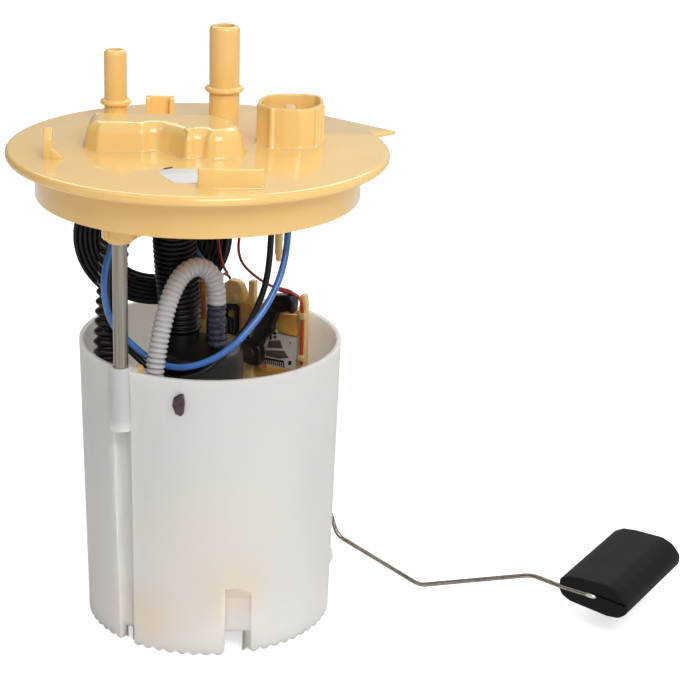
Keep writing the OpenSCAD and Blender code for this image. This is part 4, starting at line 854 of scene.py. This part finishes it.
def build_sender():
    """The sender's moulding with its post and clips, the amber faces that show in it, and its latch."""
    base = [
        plate([(-20, 88, 0.6), (19.4, 88, 0.6), (19.4, 112, 0.6), (-20, 112, 0.6)], 42.9, 46, 0.4),
        plate([(-12, 111, 0.5), (17, 111, 0.5), (17, 122.6, 1), (-12, 122.6, 1)], 43.2, 46, 0.4),
        box_plate(-20, -11, 111, 121, 42.8, 46),
        plate([(-20, 118, 0.6), (-11.7, 120.6, 0.5), (-9.2, 122.2, 0.5), (-9.6, 125.6, 1.4),
               (-11.4, 129.4, 1.4), (-13.6, 130.7, 1.4), (-17.2, 130.6, 1.4), (-20.2, 128.4, 1.4)],
              41.4, 46, 0.9),
        plate([(-8.2, 121, 0.3), (-4.9, 121, 0.3), (-5, 131.8, 0.5), (-8.1, 131.6, 0.5)], 42.6, 45.8, 0.5),
        plate([(18.2, 88, 0.4), (21.4, 88, 0.4), (21.4, 126.4, 0.8), (20.7, 130.7, 0.8), (18.4, 130.4, 0.8),
               (18, 124, 2)], 41.4, 44.6, 0.5),
        box_plate(18.4, 21.8, 119.6, 122.8, 39.9, 41.6, 0.6, 0.6),
        box_plate(18.4, 21.8, 101, 103.6, 39.9, 41.6, 0.6, 0.6),
        plate([(-10.3, 95.8, 0.6), (-7.9, 96, 1), (-4.3, 93.2, 2), (-3.5, 87.6, 0.8), (-6.4, 87.2, 0.8),
               (-9.2, 91.1, 2)], 40.2, 43, 0.9),
        box_plate(-20, 18, 86, 89, 42, 43.6, 0.5, 0.4),
        plate([(-16, 122, 0.3), (-12.4, 122, 0.3), (-13, 124.6, 0.5), (-15.4, 124.6, 0.5)], 40.7, 42, 0.4),
    ]
    make("sender_moulding", *merged(base), "sender_plastic", "pot", smooth=35, replaces=("sender_base",))
    amber = [
        plate([(-11.6, 108, 0.3), (-7.3, 112.2, 0.5), (-4.3, 117, 0.6), (-4.1, 120.2, 0.8), (-7.6, 122, 0.8),
               (-11.7, 121.8, 0.5)], 41.6, 43.4, 0.4),
        plate([(8.4, 111.4, 0.6), (17.2, 111.2, 0.6), (17.2, 121.4, 0.8), (9.5, 120.1, 1.2),
               (8.1, 118.8, 1)], 41, 43.6, 0.6),
        plate([(-4.2, 88, 0.4), (9, 91.4, 0.6), (16.8, 92.4, 0.6), (16.8, 95.4, 0.6), (-4.2, 94.8, 0.6)],
              41.6, 43.4, 0.4),
    ]
    make("sender_amber_faces", *merged(amber), "sender_plastic", "pot", smooth=35, mat="amber_plastic")
    latch = [
        box_plate(-19.6, -12.2, 106, 113.6, 40.3, 42.7, 0.4, 0.4),
        box_plate(-19.6, -17.7, 112, 119.4, 40.3, 42.7, 0.6, 0.5),
        box_plate(-14.1, -12.2, 112, 119.4, 40.3, 42.7, 0.6, 0.5),
        plate([(-19.6, 117.4, 0.4), (-12.2, 117.4, 0.4), (-12.4, 119.2, 0.8), (-14, 120.3, 1),
               (-17.6, 119.8, 2), (-19.6, 118.9, 1)], 39.9, 42.7, 0.5),
    ]
    latch += [box_plate(x, x + 0.7, 106.4, 113.2, 39.8, 40.5, 0.25, 0.2) for x in (-19, -17, -15, -13.2)]
    make("sender_latch_bars", *merged(latch), "black_plastic", "pot", smooth=35, replaces=("sender_latch",))


def build_card():
    """The ceramic card with its printed tracks, comb of pads and corner squares, each a thin print."""
    face = 42
    make("card_plate", *plate([(0.2, 94, 0.3), (16.6, 95.8, 0.3), (17, 103, 0.3), (16.8, 110.9, 0.4),
                               (8.9, 110.7, 0.3), (3.4, 111.8, 0.3), (0.8, 111.4, 0.3)], face, 42.8, 0.15),
         "card_ceramic", "pot", smooth=30, replaces=("resistor_card",))

    def prints(*outlines):
        return [plate([(x, z, 0) for x, z in one], face - 0.12, face + 0.1, 0.04) for one in outlines]

    tracks = prints([(3.1, 106.5), (8.7, 107.8), (10.1, 104.3), (2.1, 103.1)],
                    [(1.4, 101.9), (10.7, 103.5), (13.2, 100.6), (8.2, 99.3), (1.7, 99.3)])
    make("card_tracks", *merged(tracks), "card_ceramic", "pot", smooth=30, mat="track_ink")
    pads = prints([(4.9, 110), (6.7, 110), (6.8, 111.1), (4.9, 111.1)],
                  [(5.4, 108.2), (6.8, 108.2), (6.7, 109.4), (5.3, 109.4)],
                  [(3.2, 107.2), (4.4, 107.2), (4.5, 111.2), (3.6, 111.2)],
                  [(13.2, 108), (13.9, 106.9), (14.1, 107.8)],
                  [(0.4, 97.6), (10.8, 98), (10.8, 98.9), (0.4, 98.5)],
                  [(12.8, 97.4), (14.4, 97.6), (14.6, 99.4), (13.2, 99.4)],
                  *[[(0.4 + k, 95.9 - 0.02 * k), (0.95 + k, 95.9 - 0.02 * k), (0.95 + k, 98),
                     (0.4 + k, 98)] for k in range(11)])
    make("card_pads", *merged(pads), "card_ceramic", "pot", smooth=30, mat="black_plastic")


def build_lever():
    """The wiper lever: a hub, a bent arm and a domed head, worked into one rounded piece."""
    def bar(a, b, r, y0, y1):
        """A flat bar with round ends at a and b."""
        d = np.array(b, float) - a
        turn = math.degrees(math.atan2(d[1], d[0]))
        ring = arc_points(*a, r, turn + 90, turn + 270, 12)
        ring += arc_points(*b, r * 0.92, turn - 90, turn + 90, 12)
        levels = [(-0.9, y0), (-0.25, y0 + 0.3), (0, y0 + 0.9), (0, y1 - 0.9), (-0.9, y1)]
        return moved(solid(np.array(ring), levels), ALONG_Y)

    parts = [bar((0.3, 0), (0.5, 0.1), 5.8, 33.5, 38.8), bar((0.6, 0.6), (5.2, 11.2), 3.3, 34.2, 38.6),
             bar((6, 10.6), (10.4, 20.2), 3.3, 34, 38.4), bar((13, 24.4), (18.2, 25.8), 4.0, 33.6, 38.8),
             bar((20, 23), (20.4, 23.6), 1.7, 34, 38), bar((-4.4, 4.4), (-3.4, 6), 1.9, 34.6, 38.2),
             bar((9.6, 11.8), (10.4, 13), 1.6, 34.4, 37.8), bar((3, -4), (4.4, -2.6), 1.9, 34.2, 38.4),
             bar((1.8, 17.6), (2, 18), 1.5, 34.8, 38)]
    lever = moved(softened(parts, 0.36, 5), shift=PIVOT_LINE)
    make("lever_moulding", *in_sender(lever), "black_plastic", "float_arm", replaces=("wiper_lever",),
         mat="latch_purple")
    hub = lathe([(0.01, 0), (2.3, 0), (2.6, -0.3), (2.6, -1.2)], (0, 0, 0), 32)
    hub = moved(hub, [[1, 0, 0], [0, 0, 1], [0, -1, 0]], PIVOT_LINE + [0, 33.2, 0])
    make("lever_hub_centre", *in_sender(hub), "black_plastic", "float_arm", smooth=35, mat="hub_brown")


def build_marks():
    """The dark dab near the rim, the catch at the pot's right, the strut's window and the hose's clip."""
    dab = [(-94.8, 115.1, 0.6), (-93, 115.4, 0.6), (-92.5, 111.5, 1), (-92.9, 107.1, 1), (-94.2, 105.4, 0.6),
           (-96.3, 106.5, 0.8), (-97.6, 109.9, 1), (-97, 113.3, 0.8)]
    make("varnish_dab", *on_pot(dab, 0.25, 0.4), "pot_plastic", "pot", mat="dab_ink")
    catch = softened([slab(48.4, -8, 52.9, -2, 20.8, 26, 1.6, 1.3, 1.3)], 0.4, 6)
    make("side_catch", *moved(catch, shift=POT), "pot_plastic", "pot")
    strip = slab(-4.9, 11.1, -2.1, 11.7, 124, 140.4, 0.3, 0.2)
    make("strut_window", *moved(strip, shift=POT), "holder_plastic", "pot", smooth=35, mat="amber_dark")
    clip = merged([slab(-29.4, -38, -26.4, -34, 114, 120.4, 0.8, 0.6),
                   slab(-29.4, -38, -24.6, -35.4, 112, 116, 0.8, 0.6)])
    make("hose_clip", *moved(clip, shift=POT), "holder_plastic", "pot", smooth=35)


def build_vent_ends():
    """The vent line's two ends, which rise past the feed hose to the flange, and a short blue wire."""
    for name, x, r in (("vent_line_end_a", -4.6, 2.3), ("vent_line_end_b", -0.6, 2.2)):
        route = [(x - 2.4, 17.4, 143.6), (x - 1.2, 16.4, 149), (x - 0.2, 15.6, 156), (x, 15, 166),
                 (x + 0.4, 14.4, 178), (x + 0.6, 14.2, 196.8)]
        make(name, *tube(line_of(route, 6), r, 16), "black_hose", "flange", blend=heights(124, 177))
    blue = [(-6.4, 13.6, 154.6), (-5.6, 12.4, 153.2), (-4, 11.6, 151), (-2.6, 11.8, 148.8),
            (-1.8, 13.4, 147.4)]
    make("blue_wire_end", *tube(line_of(blue, 6), 0.8, 12), "blue_insulation", "flange",
         blend=heights(141, 193))


build_sender()
build_card()
build_lever()
build_marks()
build_vent_ends()


# World, floor and lamps

DIM_SIDE, BRIGHT_SIDE = (-0.85, 0.05), (0.35, 0.64)  # each a direction along X and the strength there
FLOOR_COLOUR, FLOOR_GLOW = (0.88, 0.85, 0.81, 1), 0.62
FLOOR_GAP = 0.0002  # under the pot's foot, in metres
WHITE, FULL_SPREAD = (1, 1, 1), 180
# Each lamp's name, place, target and size in metres, power in watts, colour and spread in degrees
LAMPS = (("key", (0.3, -1, 0.85), (0, 0, -0.1), (0.7, 0.7), 9.4, WHITE, FULL_SPREAD),
         ("fill", (-0.65, -0.35, 0.95), (0, 0, -0.1), (0.6, 0.6), 1.6, WHITE, FULL_SPREAD),
         ("back", (0.1, 0.9, 0.8), (0, 0, -0.05), (1.2, 0.5), 5, WHITE, FULL_SPREAD),
         ("low", (0.02, -0.6, -0.12), (-0.006, -0.05, -0.194), (0.12, 0.04), 0.0115, (1, 0.86, 0.75), 23))


def add_world():
    """A studio that is white to the camera, and lights the part less from its left."""
    world = bpy.data.worlds.new("studio")
    world.use_nodes = True
    tree = world.node_tree
    link = tree.links.new
    rays = add_node(tree, "LightPath")
    seen = add_node(tree, "Math", "MAXIMUM")
    link(rays.outputs["Is Camera Ray"], seen.inputs[0])
    link(rays.outputs["Is Transmission Ray"], seen.inputs[1])
    where = add_node(tree, "TexCoord")
    parts = add_node(tree, "SeparateXYZ")
    link(where.outputs["Generated"], parts.inputs["Vector"])
    level = add_node(tree, "MapRange", From_Min=DIM_SIDE[0], From_Max=BRIGHT_SIDE[0], To_Min=DIM_SIDE[1],
                     To_Max=BRIGHT_SIDE[1])
    level.interpolation_type = "SMOOTHSTEP"
    link(parts.outputs["X"], level.inputs["Value"])
    strength = add_node(tree, "Math", "MAXIMUM")
    link(seen.outputs[0], strength.inputs[0])
    link(level.outputs["Result"], strength.inputs[1])
    background = tree.nodes["Background"]
    background.inputs["Color"].default_value = (1, 1, 1, 1)
    link(strength.outputs[0], background.inputs["Strength"])
    bpy.context.scene.world = world


def add_floor():
    """A pale floor that glows to the camera alone, so that it looks white and still takes faint shadows."""
    floor_mat = bpy.data.materials.new("floor_white")
    floor_mat.use_nodes = True
    tree = floor_mat.node_tree
    tree.nodes.clear()
    link = tree.links.new
    out = add_node(tree, "OutputMaterial")
    diffuse = add_node(tree, "BsdfDiffuse", Color=FLOOR_COLOUR)
    glow = add_node(tree, "Emission")
    rays = add_node(tree, "LightPath")
    strength = add_node(tree, "Math", "MULTIPLY")
    strength.inputs[1].default_value = FLOOR_GLOW
    link(rays.outputs["Is Camera Ray"], strength.inputs[0])
    link(strength.outputs[0], glow.inputs["Strength"])
    both = add_node(tree, "AddShader")
    link(diffuse.outputs[0], both.inputs[0])
    link(glow.outputs[0], both.inputs[1])
    link(both.outputs[0], out.inputs["Surface"])
    mesh = bpy.data.meshes.new("floor")
    z = POT[2] * MM - FLOOR_GAP
    mesh.from_pydata([(-4, -2, z), (4, -2, z), (4, 6, z), (-4, 6, z)], [], [(0, 1, 2, 3)])
    mesh.materials.append(floor_mat)
    floor = bpy.data.objects.new("floor", mesh)
    bpy.context.collection.objects.link(floor)


def add_lamps():
    for name, place, target, size, power, colour, spread in LAMPS:
        data = bpy.data.lights.new(name, "AREA")
        data.shape = "RECTANGLE"
        data.size, data.size_y = size
        data.energy = power
        data.color = colour
        data.spread = math.radians(spread)
        obj = bpy.data.objects.new(name, data)
        bpy.context.collection.objects.link(obj)
        obj.location = place
        obj.rotation_euler = (Vector(target) - Vector(place)).to_track_quat("-Z", "Y").to_euler()


bpy.context.scene.view_settings.view_transform = "Standard"
add_world()
add_floor()
add_lamps()
